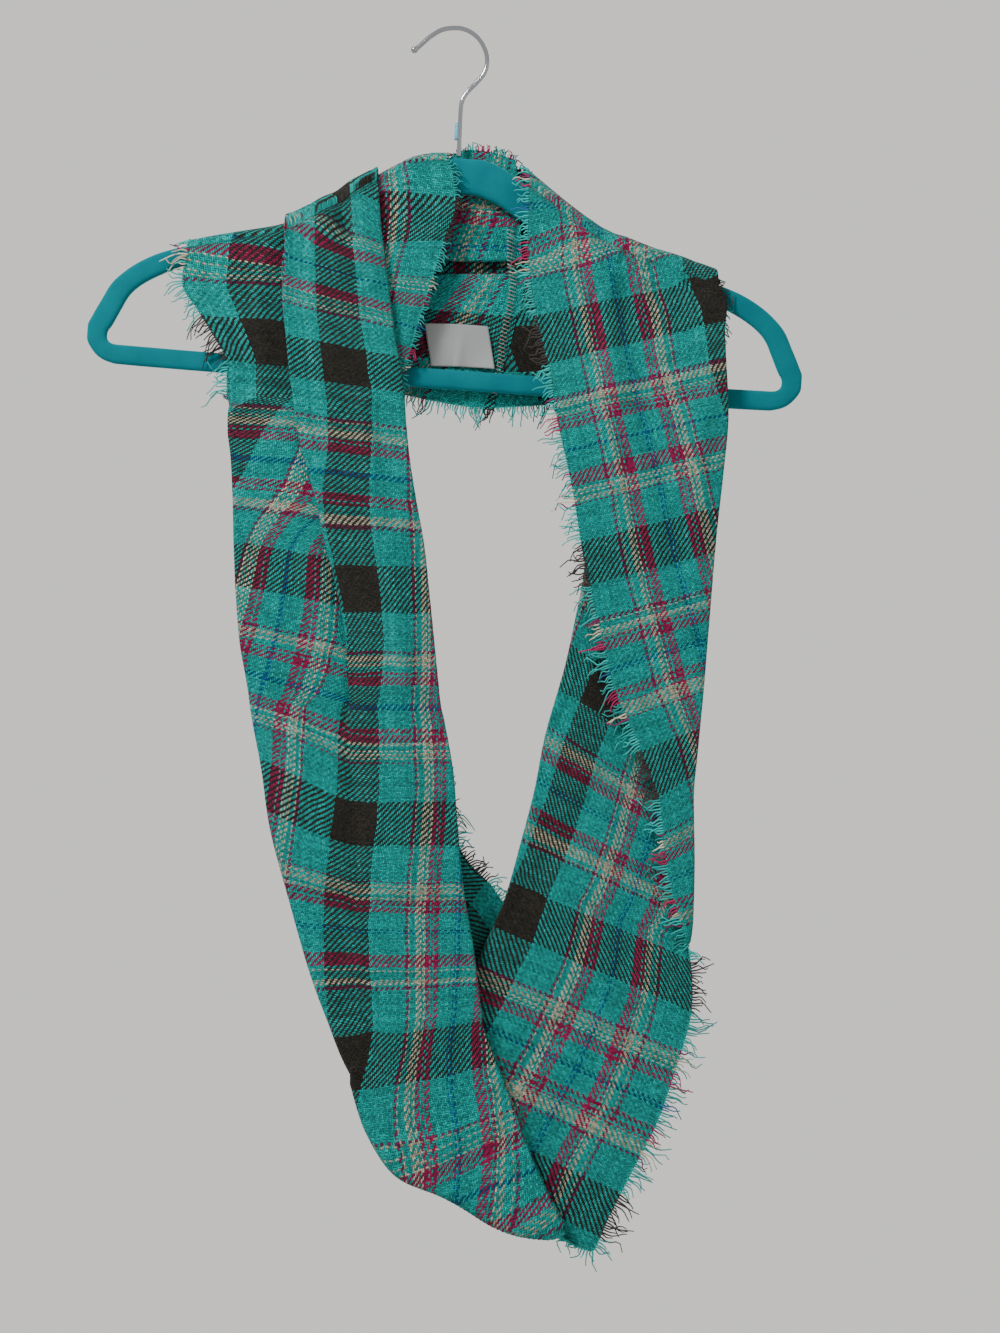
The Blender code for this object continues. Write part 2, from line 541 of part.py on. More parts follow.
def tube(name, path, radius, sides, mat, ball=0.0):
    """A round bar along a smooth path, with closed ends; ball swells the first end."""
    verts = []
    rings = []
    n = len(path)
    ref = Vector((0.0, 1.0, 0.0))
    for i, p in enumerate(path):
        t = (path[min(i + 1, n - 1)] - path[max(i - 1, 0)]).normalized()
        u = ref
        v = t.cross(u).normalized()
        r = radius
        if ball and i < 4:
            r = (ball * 0.55, ball, ball * 0.95, radius)[i]
        rings.append(len(verts))
        for k in range(sides):
            a = 2.0 * math.pi * k / sides
            verts.append(p + (u * math.cos(a) + v * math.sin(a)) * r)
    faces = []
    for a, b in zip(rings, rings[1:]):
        for k in range(sides):
            m = (k + 1) % sides
            faces.append((a + k, a + m, b + m, b + k))
    faces.append(tuple(rings[0] + k for k in range(sides))[::-1])
    faces.append(tuple(rings[-1] + k for k in range(sides)))
    return make(name, verts, faces, mat)


def hanger_place(x, z, y):
    """A point of the hanger's own frame in the hung frame."""
    c, s = math.cos(HANGER_TILT), math.sin(HANGER_TILT)
    x += HANGER_CENTRE
    return Vector((x * c + z * s, y, -x * s + z * c))


# right half of the frame, from the neck's middle out along the arm, round the end and back along the bar
FRAME = table("out_x out_z in_x in_z", [
    (0.0, -79.8, 0.0, -102.4),
    (9.0, -79.8, 8.0, -102.4),
    (17.0, -80.0, 14.0, -103.0),
    (24.5, -82.6, 19.0, -104.3),
    (32.0, -86.5, 26.0, -107.0),
    (39.0, -90.4, 32.0, -110.4),
    (46.0, -95.8, 40.0, -115.2),
    (60.0, -106.0, 53.0, -123.0),
    (80.0, -120.0, 74.0, -134.5),
    (98.0, -130.0, 93.0, -143.5),
    (124.0, -136.0, 121.0, -149.0),
    (150.0, -142.0, 147.0, -154.7),
    (172.0, -148.6, 168.0, -160.6),
    (184.0, -153.0, 178.5, -164.8),
    (195.0, -159.0, 187.0, -169.4),
    (203.5, -165.5, 194.0, -174.4),
    (211.0, -173.5, 199.5, -180.5),
    (216.5, -184.0, 204.0, -189.5),
    (221.5, -194.2, 208.5, -199.0),
    (224.0, -201.0, 211.0, -203.0),
    (224.0, -208.0, 211.5, -206.0),
    (221.0, -214.5, 210.8, -208.8),
    (215.5, -219.9, 208.5, -210.6),
    (208.0, -222.8, 205.0, -211.2),
    (198.0, -223.6, 198.0, -211.3),
    (150.0, -224.2, 150.0, -211.9),
    (100.0, -224.4, 100.0, -212.1),
    (50.0, -224.5, 50.0, -212.2),
])

# centre line of the hook's wire, from its ball end over the top and down the stem
HOOK_LINE = table("x z", [
    (-28.2, -12.0),
    (-26.6, -12.1),
    (-24.9, -11.6),
    (-21.0, -8.2),
    (-16.0, -3.9),
    (-8.8, 0.3),
    (0.0, 1.5),
    (7.6, -0.2),
    (14.2, -5.2),
    (18.4, -12.5),
    (19.6, -19.4),
    (17.6, -26.8),
    (12.8, -32.8),
    (7.6, -38.0),
    (4.4, -42.6),
    (3.2, -48.0),
    (2.7, -56.0),
    (2.2, -68.0),
    (1.8, -78.9),
])


def hanger_frame(mat):
    """The flocked frame: one closed ring of flattened bar with softened edges."""
    half = FRAME["rows"] + [(0.0, -224.6, 0.0, -212.3)]
    loop = half + [(-a, b, -c, d) for a, b, c, d in half[-2:0:-1]]
    t = HANGER_THICK / 2.0
    verts = []
    for ox, oz, ix, iz in loop:
        o, i = Vector((ox, oz)), Vector((ix, iz))
        e = (i - o).normalized() * 2.0
        for p, y in ((o, -0.5), (o + e, -1.0), (i - e, -1.0), (i, -0.5),
                     (i, 0.5), (i - e, 1.0), (o + e, 1.0), (o, 0.5)):
            verts.append(hanger_place(p.x, p.y, y * t))
    n = len(loop)
    faces = []
    for k in range(n):
        a, b = k * 8, ((k + 1) % n) * 8
        for j in range(8):
            m = (j + 1) % 8
            faces.append((a + j, a + m, b + m, b + j))
    return make("hanger_frame", verts, faces, mat)


def hook(mat):
    """The chrome wire hook with a ball end; the stem stops just above the frame."""
    path = []
    last = len(HOOK_LINE["rows"]) - 1
    for i in range(last):
        p = pick(HOOK_LINE, float(i))
        path.append(Vector((p["x"], 0.0, p["z"])))
    p = pick(HOOK_LINE, float(last))
    path.append(Vector((p["x"], 0.0, p["z"])))
    return tube("hook", path, HOOK_RADIUS, 10, mat, ball=2.2)


def ribbon(name, line, widths, thick, mat):
    """A flat strip facing the front: line runs down its middle, widths are its full widths."""
    verts = []
    for p, width in zip(line, widths):
        side = Vector((width / 2.0, 0.0, 0.0))
        n = Vector((0.0, thick / 2.0, 0.0))
        verts += [p - side - n, p + side - n, p + side + n, p - side + n]
    faces = []
    for i in range(len(line) - 1):
        a, b = 4 * i, 4 * i + 4
        for k in range(4):
            m = (k + 1) % 4
            faces.append((a + k, a + m, b + m, b + k))
    faces.append((3, 2, 1, 0))
    a = 4 * (len(line) - 1)
    faces.append((a, a + 1, a + 2, a + 3))
    return make(name, verts, faces, mat, smooth=False)


# middle line of the overlocked seam down the back of the neck
SEAM_LINE = table("x z", [
    (34.4, -123.3),
    (34.4, -144.6),
    (36.3, -155.9),
    (33.8, -174.7),
    (30.0, -190.3),
    (28.2, -207.2),
    (23.2, -229.7),
])

# care label: middle, height and full width of its cross-lines
LABEL_LINE = table("x z width", [
    (0.0, -183.4, 40.0),
    (1.0, -190.5, 40.2),
    (2.4, -199.5, 40.0),
    (3.7, -209.1, 40.0),
])


for old in list(bpy.data.objects):
    bpy.data.objects.remove(old, do_unlink=True)

twill = material("twill", (0.16, 0.30, 0.26), 0.95, 0.0)
yarn = material("yarn", (0.12, 0.24, 0.22), 0.95, 0.0)
thread = material("seam_thread", (0.45, 0.42, 0.36), 0.9, 0.0)
satin = material("label_satin", (0.85, 0.86, 0.85), 0.45, 0.0)
flock = material("teal_flock", (0.0, 0.20, 0.24), 1.0, 0.0)
chrome = material("chrome", (0.80, 0.80, 0.82), 0.12, 1.0)

back_left = shoulder_rows(BACK_LEFT, 2, (0, 1, 2))
left_shoulder = shoulder_rows(LEFT_SHOULDER, 2, (0, 1, 2))
left_leg = left_leg_rows(LEFT_LEG, 1)
bottom = bottom_rows(BOTTOM, 2)
base_panel = base_rows(BASE, 1)
right_leg = right_leg_rows(RIGHT_LEG, 1)
right_shoulder = right_shoulder_rows(RIGHT_SHOULDER, 2, (3, 4, 5))
back_right = right_shoulder_rows(BACK_RIGHT, 1, (0, 1, 2))

for title, rows, starts, ends in (
        ("back_neck_left", back_left, True, True),
        ("left_shoulder", left_shoulder, True, True),
        ("left_leg", left_leg, True, True),
        ("bottom_turn", bottom, True, True),
        ("base_panel", base_panel, True, True),
        ("right_leg", right_leg, True, True),
        ("right_shoulder", right_shoulder, True, True),
        ("back_neck_right", back_right, True, True)):
    wall(title, trimmed(rows, starts, ends), twill)

for title, rows, outer, length, skip in (
        ("fringe_in_back_left", back_left, False, 6.0, (5, 1)),
        ("fringe_in_left_shoulder", left_shoulder, False, 7.0, (4, 1)),
        ("fringe_in_left_leg", left_leg, False, 4.5, (1, 1)),
        ("fringe_in_bottom", bottom, False, 2.5, (1, 2)),
        ("fringe_in_base", base_panel, False, 10.0, (1, 1)),
        ("fringe_in_right_leg", right_leg, False, 10.0, (1, 1)),
        ("fringe_in_right_shoulder", right_shoulder, False, 8.0, (1, 1)),
        ("fringe_in_back_right", back_right, False, 5.0, (4, 1)),
        ("fringe_out_back_left", back_left, True, 9.0, (1, 1)),
        ("fringe_out_left_shoulder", left_shoulder, True, 10.0, (1, 1)),
        ("fringe_out_left_leg", left_leg, True, 9.0, (3, 1)),
        ("fringe_out_bottom", bottom, True, 7.0, (1, 6)),
        ("fringe_out_base", base_panel, True, 6.0, (1, 1)),
        ("fringe_out_right_leg", right_leg, True, 6.0, (1, 1)),
        ("fringe_out_right_shoulder", right_shoulder, True, 5.0, (1, 1)),
        ("fringe_out_back_right", back_right, True, 9.0, (1, 1))):
    line = edge_line(rows, outer)
    fringe(title, line[skip[0]:len(line) - skip[1]], length, yarn)

hanger_frame(flock)
hook(chrome)
ribbon("overlock_seam", [Vector((x, SEAM_Y, z)) for x, z in SEAM_LINE["rows"]],
       [SEAM_WIDTH] * len(SEAM_LINE["rows"]), SEAM_WALL, thread)
ribbon("care_label", [Vector((x, LABEL_Y, z)) for x, z, w in LABEL_LINE["rows"]],
       [w for x, z, w in LABEL_LINE["rows"]], LABEL_WALL, satin)
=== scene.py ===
import math

import bpy
import numpy as np
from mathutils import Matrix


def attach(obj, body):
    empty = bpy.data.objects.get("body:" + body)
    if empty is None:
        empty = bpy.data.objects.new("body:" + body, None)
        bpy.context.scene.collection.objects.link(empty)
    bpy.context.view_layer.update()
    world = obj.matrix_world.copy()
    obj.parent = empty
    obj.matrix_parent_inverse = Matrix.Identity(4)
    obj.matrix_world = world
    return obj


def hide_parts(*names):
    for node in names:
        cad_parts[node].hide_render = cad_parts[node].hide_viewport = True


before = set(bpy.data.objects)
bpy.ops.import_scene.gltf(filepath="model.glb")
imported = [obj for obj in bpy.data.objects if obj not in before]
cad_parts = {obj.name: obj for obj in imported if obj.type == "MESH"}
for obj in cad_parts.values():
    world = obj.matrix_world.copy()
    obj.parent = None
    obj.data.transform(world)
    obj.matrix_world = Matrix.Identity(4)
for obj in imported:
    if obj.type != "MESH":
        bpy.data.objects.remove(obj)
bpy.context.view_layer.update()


# ------------------------
# The scarf's cloth.  It is one strip of brushed 2/2 twill, 310 mm wide and joined end to end
# into a loop 1.55 m round.  It goes over both arms of the hanger and hangs in two folded legs;
# a section of it is a zigzag of flat runs with round folds between them.
MM = 0.001
STRIP_WIDTH = 310.0
SETT = 143.35  # one repeat of the plaid
COLUMN, ROW = 1.25, 1.7  # steps of the mesh across and along the strip
FOLD_MIN = 1.3  # least radius of a fold
RUN_MIN = 4.0  # least length that a run's heading is taken from
RUN_POINTS, BEND_POINTS = 14, 7
LAYER = 3.5  # from one layer of a leg to the next
BOTTOM_FRONT = 15.0  # depth of the front layer where it rolls under
FLAT_PITCH = 2.4  # pitch of the layers at which a run over an arm has no swell
NECK_X, NECK_HALF, NECK_FADE = 18.0, 25.0, 40.0


def table(names, rows):
    """A short table in mm: column names, then the rows, with a comma between two rows.

    Names ending in _t give the place across the strip, names in _k how many repeats of the
    plaid lie before it along the strip.
    """
    return {"names": names.split(), "rows": np.array([row.split() for row in rows.split(",")], float)}


def between(data, u):
    """Columns at positions u between the rows: a cubic that stays flat where a column turns back."""
    rows = data["rows"]
    last = len(rows) - 1
    i = np.clip(np.floor(u).astype(int), 0, last - 1)
    f = (u - i)[:, None]
    a, b = rows[np.maximum(i - 1, 0)], rows[i]
    c, d = rows[i + 1], rows[np.minimum(i + 2, last)]
    m1 = np.where((b - a) * (c - b) <= 0.0, 0.0, (c - a) / 2.0)
    m2 = np.where((c - b) * (d - c) <= 0.0, 0.0, (d - b) / 2.0)
    g = f * f
    h = g * f
    value = b * (2 * h - 3 * g + 1) + m1 * (h - 2 * g + f) + c * (3 * g - 2 * h) + m2 * (h - g)
    return {name: value[:, n] for n, name in enumerate(data["names"])}


def steps(data):
    """Positions along a table, about ROW apart on the cloth."""
    marks = [data["names"].index(n) for n in data["names"] if n.endswith("_k")]
    k = data["rows"][:, marks].mean(axis=1) * SETT
    out = [np.array([0.0])]
    for i, gap in enumerate(np.abs(np.diff(k))):
        n = max(int(math.ceil(gap / ROW)), 4)
        out.append(i + np.arange(1, n + 1) / n)
    return np.concatenate(out)


def unit(vectors):
    """The vectors scaled to length 1."""
    return vectors / np.maximum(np.linalg.norm(vectors, axis=-1, keepdims=True), 1e-9)


def walk(line):
    """Length walked along a line of points, up to each of them."""
    return np.concatenate([[0.0], np.cumsum(np.linalg.norm(np.diff(line, axis=0), axis=1))])


def zigzag(stops, depths, bows):
    """Section points (rows, points, 3) as x, z, depth, and the index of each stop among them.

    A run goes straight from stop to stop at its own depth, plus a sine swell of height bow.  At
    an inner stop a half circle as wide as the step in depth joins two runs.
    """
    count = stops.shape[1] - 1
    step = np.diff(stops, axis=1)
    heading = step / np.maximum(np.linalg.norm(step, axis=2, keepdims=True), RUN_MIN)
    radius = np.zeros(stops.shape[:2])
    radius[:, 1:-1] = np.maximum(np.abs(depths[:, 1:, 0] - depths[:, :-1, 1]) / 2.0, FOLD_MIN)
    f = np.linspace(0.0, 1.0, RUN_POINTS)[None, :, None]
    bend = np.linspace(0.0, math.pi, BEND_POINTS + 2)[1:-1]
    parts, marks, total = [], [0], 0
    for i in range(count):
        a = (stops[:, i] + heading[:, i] * radius[:, i, None])[:, None]
        b = (stops[:, i + 1] - heading[:, i] * radius[:, i + 1, None])[:, None]
        deep = depths[:, i, 0, None, None] * (1 - f) + depths[:, i, 1, None, None] * f
        deep = deep + bows[:, i, None, None] * np.sin(math.pi * f)
        parts.append(np.concatenate([a * (1 - f) + b * f, deep], axis=2))
        total += RUN_POINTS
        if i == count - 1:
            break
        q = stops[:, i + 1][:, None]
        r = radius[:, i + 1][:, None, None]
        near, far = depths[:, i, 1][:, None, None], depths[:, i + 1, 0][:, None, None]
        middle = (near + far) / 2.0
        s, c = np.sin(bend)[None, :, None], np.cos(bend)[None, :, None]
        first = c >= 0.0
        flat = np.where(first, q - heading[:, i][:, None] * r * (1 - s),
                        q + heading[:, i + 1][:, None] * r * (1 - s))
        deep = middle + np.where(first, (near - middle) * c, (far - middle) * -c)
        parts.append(np.concatenate([flat, deep], axis=2))
        marks.append(total + BEND_POINTS // 2)
        total += BEND_POINTS
    marks.append(total - 1)
    return np.concatenate(parts, axis=1), marks


RIDGE = table("x z", """
  -185.3 -141.8, -166.5 -137.3, -148.4 -133.8, -126.5 -130.4, -106.4 -127.1, -90.8 -121,
  -80.8 -115.8, -72.6 -111.1, -56.3 -101.1, -43.8 -93.4, -28.2 -85.8, -16.3 -82.8, -9.4 -82.6,
  -5.6 -82.8, 0 -83.2, 42.6 -97.3, 47.6 -101.2, 55.7 -108.1, 67.6 -118, 78.9 -126.9, 95.8 -138.3,
  121.4 -147.7, 146.5 -155.3, 163.4 -161.5, 172.8 -165.3
""")


def wrapped(points, over, ride, drop):
    """Section points placed in space by over, their angle round the hanger's arm in degrees.

    y is depth times the sine of the angle, z gains depth times its cosine; ride 1 puts a point
    on the arm's own line less drop, and behind the neck the cloth stands level.
    """
    x, z, deep = points[..., 0], points[..., 1], points[..., 2]
    turn = np.radians(over)[:, None]
    ride, drop = ride[:, None], drop[:, None]
    arm = np.interp(x, *RIDGE["rows"].T)
    neck = np.clip(1.0 - (np.abs(x - NECK_X) - NECK_HALF) / NECK_FADE, 0.0, 1.0)
    stand = np.where(turn > 0.0, neck * (deep * (1 - np.cos(turn)) + drop) * ride, 0.0)
    height = z + (arm - drop - z) * ride + deep * np.cos(turn) + stand
    return np.stack([x, deep * np.sin(turn), height], axis=2)


def woven(points, marks, t, k):
    """Points, t and k of each section at even places across the strip.

    Between two stops t and k grow in step with the length walked along the section.
    """
    walked = np.zeros(points.shape[:2])
    walked[:, 1:] = np.cumsum(np.linalg.norm(np.diff(points, axis=1), axis=2), axis=1)
    across = np.linspace(0.0, STRIP_WIDTH, int(STRIP_WIDTH / COLUMN) + 1)
    grid = np.zeros((len(points), len(across), 3))
    weft = np.zeros((len(points), len(across)))
    for row in range(len(points)):
        place = np.interp(walked[row], walked[row, marks], t[row])
        for axis in range(3):
            grid[row, :, axis] = np.interp(across, place, points[row, :, axis])
        weft[row] = np.interp(across, t[row], k[row])
    return grid, across, weft


def facing(grid):
    """Unit normals of a grid: the cross product of its steps across and along."""
    return unit(np.cross(np.gradient(grid, axis=1), np.gradient(grid, axis=0)))


def shoulder(t):
    """Over the left arm: edge, hem, right fold, crest, tuck, edge."""
    low, p = t["depth"], t["pitch"]
    depths = [low, low + p, low + 2 * p, low + p, (low, low - t["dip"])]
    return "in hem right crest tuck out", depths, [0, 0, 1.5 * (p - FLAT_PITCH), 0, 0]


def stretch(data, laying):
    """Grid, places across and weft count of a stretch of the strip, from its table.

    laying names the stops and gives each run's depth, as a pair where it changes on the way,
    and the height of its swell.
    """
    t = between(data, steps(data))
    zero = 0.0 * t["in_k"]
    t = {"over": zero - 90.0, "ride": zero, "drop": zero, "ease": zero,
         "in_t": zero, "out_t": zero + STRIP_WIDTH, **t}
    names, depths, swell = laying(t)

    def columns(values):
        return np.stack([zero + v for v in values], axis=1)

    stops = [columns((t[n + "_x"], t[n + "_z"])) for n in names.split()]
    depths = [columns(d if isinstance(d, tuple) else (d, d)) for d in depths]
    points, marks = zigzag(np.stack(stops, axis=1), np.stack(depths, axis=1), columns(swell))
    points = wrapped(points, t["over"], t["ride"], t["drop"])
    place = np.maximum.accumulate(columns(t[n + "_t"] for n in names.split()), axis=1)
    return woven(points, marks, place, columns(t[n + "_k"] for n in names.split()))


def rumple(grid):
    """Small soft unevenness: a sum of slow waves in x and z shifts the cloth along y.

    All layers at one x and z move together, so they keep their order and their gaps.
    """
    p, q = grid[..., 0] / STRIP_WIDTH, grid[..., 2] / SETT
    height = 0.30 * np.sin(11.0 * p + 7.3 * q) * np.sin(5.1 * q - 3.0 * p + 0.7)
    height += 0.22 * np.sin(23.0 * p - 9.7 * q + 1.3) + 0.16 * np.sin(41.0 * p + 13.1 * q + 2.1)
    height += 0.10 * np.sin(67.0 * p + 31.0 * q) * np.sin(17.0 * q + 0.4)
    out = grid.copy()
    out[..., 1] += 0.8 * height
    return out


def add_piece(name, points, faces, material, slot, nodes, uv=None):
    """A smooth piece from points in mm; uv gives each point's place in the weave, in metres."""
    mesh = bpy.data.meshes.new(name)
    mesh.from_pydata((points * MM).reshape(-1, 3), [], faces)
    if uv is not None:
        corners = np.empty(len(mesh.loops), dtype=np.int32)
        mesh.loops.foreach_get("vertex_index", corners)
        mesh.uv_layers.new(name="weave").data.foreach_set("uv", uv.reshape(-1, 2)[corners].ravel())
    mesh.polygons.foreach_set("use_smooth", np.ones(len(faces), dtype=bool))
    mesh.materials.append(material)
    piece = bpy.data.objects.new(name, mesh)
    bpy.context.collection.objects.link(piece)
    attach(piece, "root")
    if nodes:
        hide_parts(*nodes)
    return piece


def grid_faces(rows, columns):
    """Faces of a grid of points, as lists of their numbers."""
    index = np.arange(rows * columns).reshape(rows, columns)
    quads = np.stack([index[:-1, :-1], index[:-1, 1:], index[1:, 1:], index[1:, :-1]], axis=-1)
    return quads.reshape(-1, 4).tolist()


def cloth(name, grid, normals, across, weft, material, node):
    """A piece of the strip, with its weave in the UV map and the whole strip's normals."""
    uv = np.stack([np.broadcast_to(across, weft.shape), weft * SETT], axis=-1) * MM
    piece = add_piece(name, grid, grid_faces(*weft.shape), material, "twill", [node], uv)
    piece.data.normals_split_custom_set_from_vertices(normals.reshape(-1, 3).tolist())
    return piece


def linear(red, green, blue):
    """A display colour in 0..255 as scene-linear RGBA."""
    c = np.array([red, green, blue]) / 255.0
    c = np.where(c <= 0.04045, c / 12.92, ((c + 0.055) / 1.055) ** 2.4)
    return (*c.tolist(), 1.0)


TEAL = linear(0, 177, 170)
DARK = linear(46, 38, 34)
CREAM = linear(202, 198, 172)
MAGENTA = linear(166, 0, 84)
BLUE = linear(0, 100, 150)
THIN = linear(128, 24, 88)
# stripes of the sett: start in repeats, colour, and how far teal yarns are mixed in with it
SETT_STRIPES = [
    (0.0, TEAL, 0.0), (0.1616, THIN, 0.3), (0.1747, CREAM, 1.0), (0.2489, MAGENTA, 0.35),
    (0.3100, TEAL, 0.0), (0.3886, BLUE, 0.6), (0.4148, TEAL, 0.0), (0.4891, MAGENTA, 0.35),
    (0.5502, CREAM, 1.0), (0.6245, THIN, 0.3), (0.6376, TEAL, 0.0), (0.7991, DARK, 0.0),
]
MIXED_SHARE = 0.46  # of the yarns in a fully mixed stripe, how many are teal
WEFT_START = 0.8996  # where the weft's sett starts, in repeats
FAR = 20.0  # whole repeats added, so that no place is negative
YARN = 0.00093


class Nodes:
    """A short way to wire a material's nodes: each call adds one and returns its output."""

    def __init__(self, name):
        self.material = bpy.data.materials.new(name)
        self.material.use_nodes = True
        self.tree = self.material.node_tree

    def set(self, socket, value):
        """Link an output to a socket, or store a constant in it."""
        if isinstance(value, bpy.types.NodeSocket):
            self.tree.links.new(value, socket)
        else:
            socket.default_value = value

    def add(self, kind, output=0, **inputs):
        """Add a node: in0, in1 ... fill its sockets by number, other names set its properties."""
        node = self.tree.nodes.new(kind)
        for key, value in inputs.items():
            if key.startswith("in"):
                self.set(node.inputs[int(key[2:])], value)
            else:
                setattr(node, key, value)
        return node.outputs[output]

    def math(self, operation, a, b=0.0, c=0.0):
        """One arithmetic step on single values."""
        return self.add("ShaderNodeMath", operation=operation, in0=a, in1=b, in2=c)

    def vector(self, operation, a, b):
        """One arithmetic step on vectors."""
        return self.add("ShaderNodeVectorMath", operation=operation, in0=a, in1=b)

    def times(self, colour, factor):
        """A colour times a single value."""
        return self.add("ShaderNodeVectorMath", operation="SCALE", in0=colour, in3=factor)

    def mix(self, factor, a, b):
        """Colour a at factor 0, colour b at factor 1."""
        return self.add("ShaderNodeMix", output=2, data_type="RGBA", in0=factor, in6=a, in7=b)

    def noise(self, place, scale, detail, output=0):
        """Soft noise at a place: one value, or three as output 1."""
        return self.add("ShaderNodeTexNoise", output=output, in0=place, in2=scale, in3=detail)

    def chance(self, a, b):
        """A number from 0 to 1 drawn anew for each pair of whole numbers."""
        pair = self.add("ShaderNodeCombineXYZ", in0=a, in1=b)
        return self.add("ShaderNodeTexWhiteNoise", noise_dimensions="3D", in0=pair)

    def split(self, vector):
        """The first two parts of a vector."""
        node = self.tree.nodes.new("ShaderNodeSeparateXYZ")
        self.set(node.inputs[0], vector)
        return node.outputs[0], node.outputs[1]

    def bulge(self, yarns):
        """Height of a yarn at a place counted in yarns: 1 less the square of its way off centre."""
        off = self.math("SUBTRACT", self.math("MULTIPLY", self.math("FRACT", yarns), 2.0), 1.0)
        return self.math("SUBTRACT", 1.0, self.math("MULTIPLY", off, off))

    def stripes(self, place, chance):
        """The sett's colour at a place in repeats; chance, 0 to 1 for a yarn, picks the teal ones."""
        ramp = self.tree.nodes.new("ShaderNodeValToRGB")
        ramp.color_ramp.interpolation = "CONSTANT"
        while len(ramp.color_ramp.elements) > 1:
            ramp.color_ramp.elements.remove(ramp.color_ramp.elements[-1])
        for position, colour, mixed in SETT_STRIPES:
            first = position == 0.0
            element = ramp.color_ramp.elements[0] if first else ramp.color_ramp.elements.new(position)
            element.position = position
            element.color = (*colour[:3], mixed)
        self.set(ramp.inputs[0], self.math("FRACT", place))
        other = self.math("LESS_THAN", chance, self.math("MULTIPLY", ramp.outputs[1], MIXED_SHARE))
        return self.mix(other, ramp.outputs[0], TEAL)

    def finish(self, bump=None, **sockets):
        """Set the shader's sockets (_ for a space) and its bump: strength, distance, height."""
        shader = self.tree.nodes["Principled BSDF"]
        for name, value in sockets.items():
            self.set(shader.inputs[name.replace("_", " ")], value)
        if bump:
            relief = self.add("ShaderNodeBump", in0=bump[0], in1=bump[1], in3=bump[2])
            self.set(shader.inputs["Normal"], relief)
        return self.material


def twill():
    """Brushed 2/2 twill: warp shows where (warp yarn - weft yarn) mod 4 is under 2, else weft.

    Slow and fast noise shift the weave a little, each yarn has its own tone, and nap and wear
    lie over it; the colour is darkened towards each yarn's sides as painted shade between yarns.
    """
    n = Nodes("plaid_twill")
    uv = moved = n.add("ShaderNodeUVMap", uv_map="weave")
    for scale, reach in ((55.0, 0.003), (620.0, 0.0011)):
        shift = n.vector("SUBTRACT", n.noise(uv, scale, 2.0, output=1), (0.5, 0.5, 0.5))
        moved = n.vector("ADD", moved, n.vector("MULTIPLY", shift, (reach, reach, 0.0)))
    warp_yarn, weft_yarn = (n.math("DIVIDE", part, YARN) for part in n.split(moved))
    warp_count, weft_count = n.math("FLOOR", warp_yarn), n.math("FLOOR", weft_yarn)
    shade = []
    for count, start, seed, least in ((warp_count, 0.0, 3.7, 0.44), (weft_count, WEFT_START, 9.1, 0.33)):
        place = n.math("ADD", n.math("DIVIDE", n.math("MULTIPLY", count, YARN), SETT * MM), start + FAR)
        tone = n.math("MULTIPLY_ADD", n.chance(count, seed), 0.30, least)
        shade.append(n.times(n.stripes(place, n.chance(count, seed + 5.0)), tone))
    slip = n.math("FLOORED_MODULO", n.math("SUBTRACT", warp_count, weft_count), 4.0)
    over = n.math("LESS_THAN", slip, 1.5)
    height = n.math("ADD", n.math("MULTIPLY", n.bulge(warp_yarn), over),
                    n.math("MULTIPLY", n.bulge(weft_yarn), n.math("SUBTRACT", 1.0, over)))
    nap = n.noise(uv, 1900.0, 3.0)
    pale = n.mix(n.math("MULTIPLY", n.math("POWER", nap, 3.0), 0.18), n.mix(over, shade[1], shade[0]),
                 linear(150, 172, 156))
    pair = n.math("FLOOR", n.math("DIVIDE", warp_count, 2.0))
    # The colour is scaled by each yarn's height: painted shade, darker towards the yarn's sides in the
    # gaps between yarns. The nap and a random tone for each two warp yarns on a weft yarn scale it too.
    gap_shade_and_tone = n.math("MULTIPLY", n.math("ADD", height, 0.22), n.math("MULTIPLY_ADD", nap, 0.9, 0.48))
    gap_shade_and_tone = n.math("MULTIPLY", gap_shade_and_tone, n.math("MULTIPLY_ADD", n.chance(pair, weft_count), 0.6, 0.68))
    wear = n.math("MULTIPLY_ADD", n.noise(uv, 90.0, 3.0), 0.5, 0.75)
    relief = n.math("ADD", height, n.math("MULTIPLY", nap, 1.2))
    return n.finish(Base_Color=n.times(pale, n.math("MULTIPLY", gap_shade_and_tone, wear)), Roughness=0.95,
                    Specular_IOR_Level=0.05, Sheen_Weight=0.04, bump=(0.8, 0.0005, relief))


# Where the strip lies over the two arms: the stops, then the depths, that its rows there share.
LEFT_ARM = "-5.6 -82.8 -70.1 -109.6 -48.8 -96.4 -106.4 -127.1 -77.6 -114 -166.5 -137.3 6 2.9 0 1 0"
RIGHT_ARM = "45.1 -99.3 163.4 -161.5 91.4 -135.7 160.9 -160.5 6 2.9 1"
ARM_COLUMNS = ("over in_x in_z hem_x hem_z right_x right_z crest_x crest_z tuck_x tuck_z "
               "out_x out_z depth pitch dip ride drop in_k hem_t hem_k right_t right_k "
               "crest_t crest_k tuck_t tuck_k out_k")

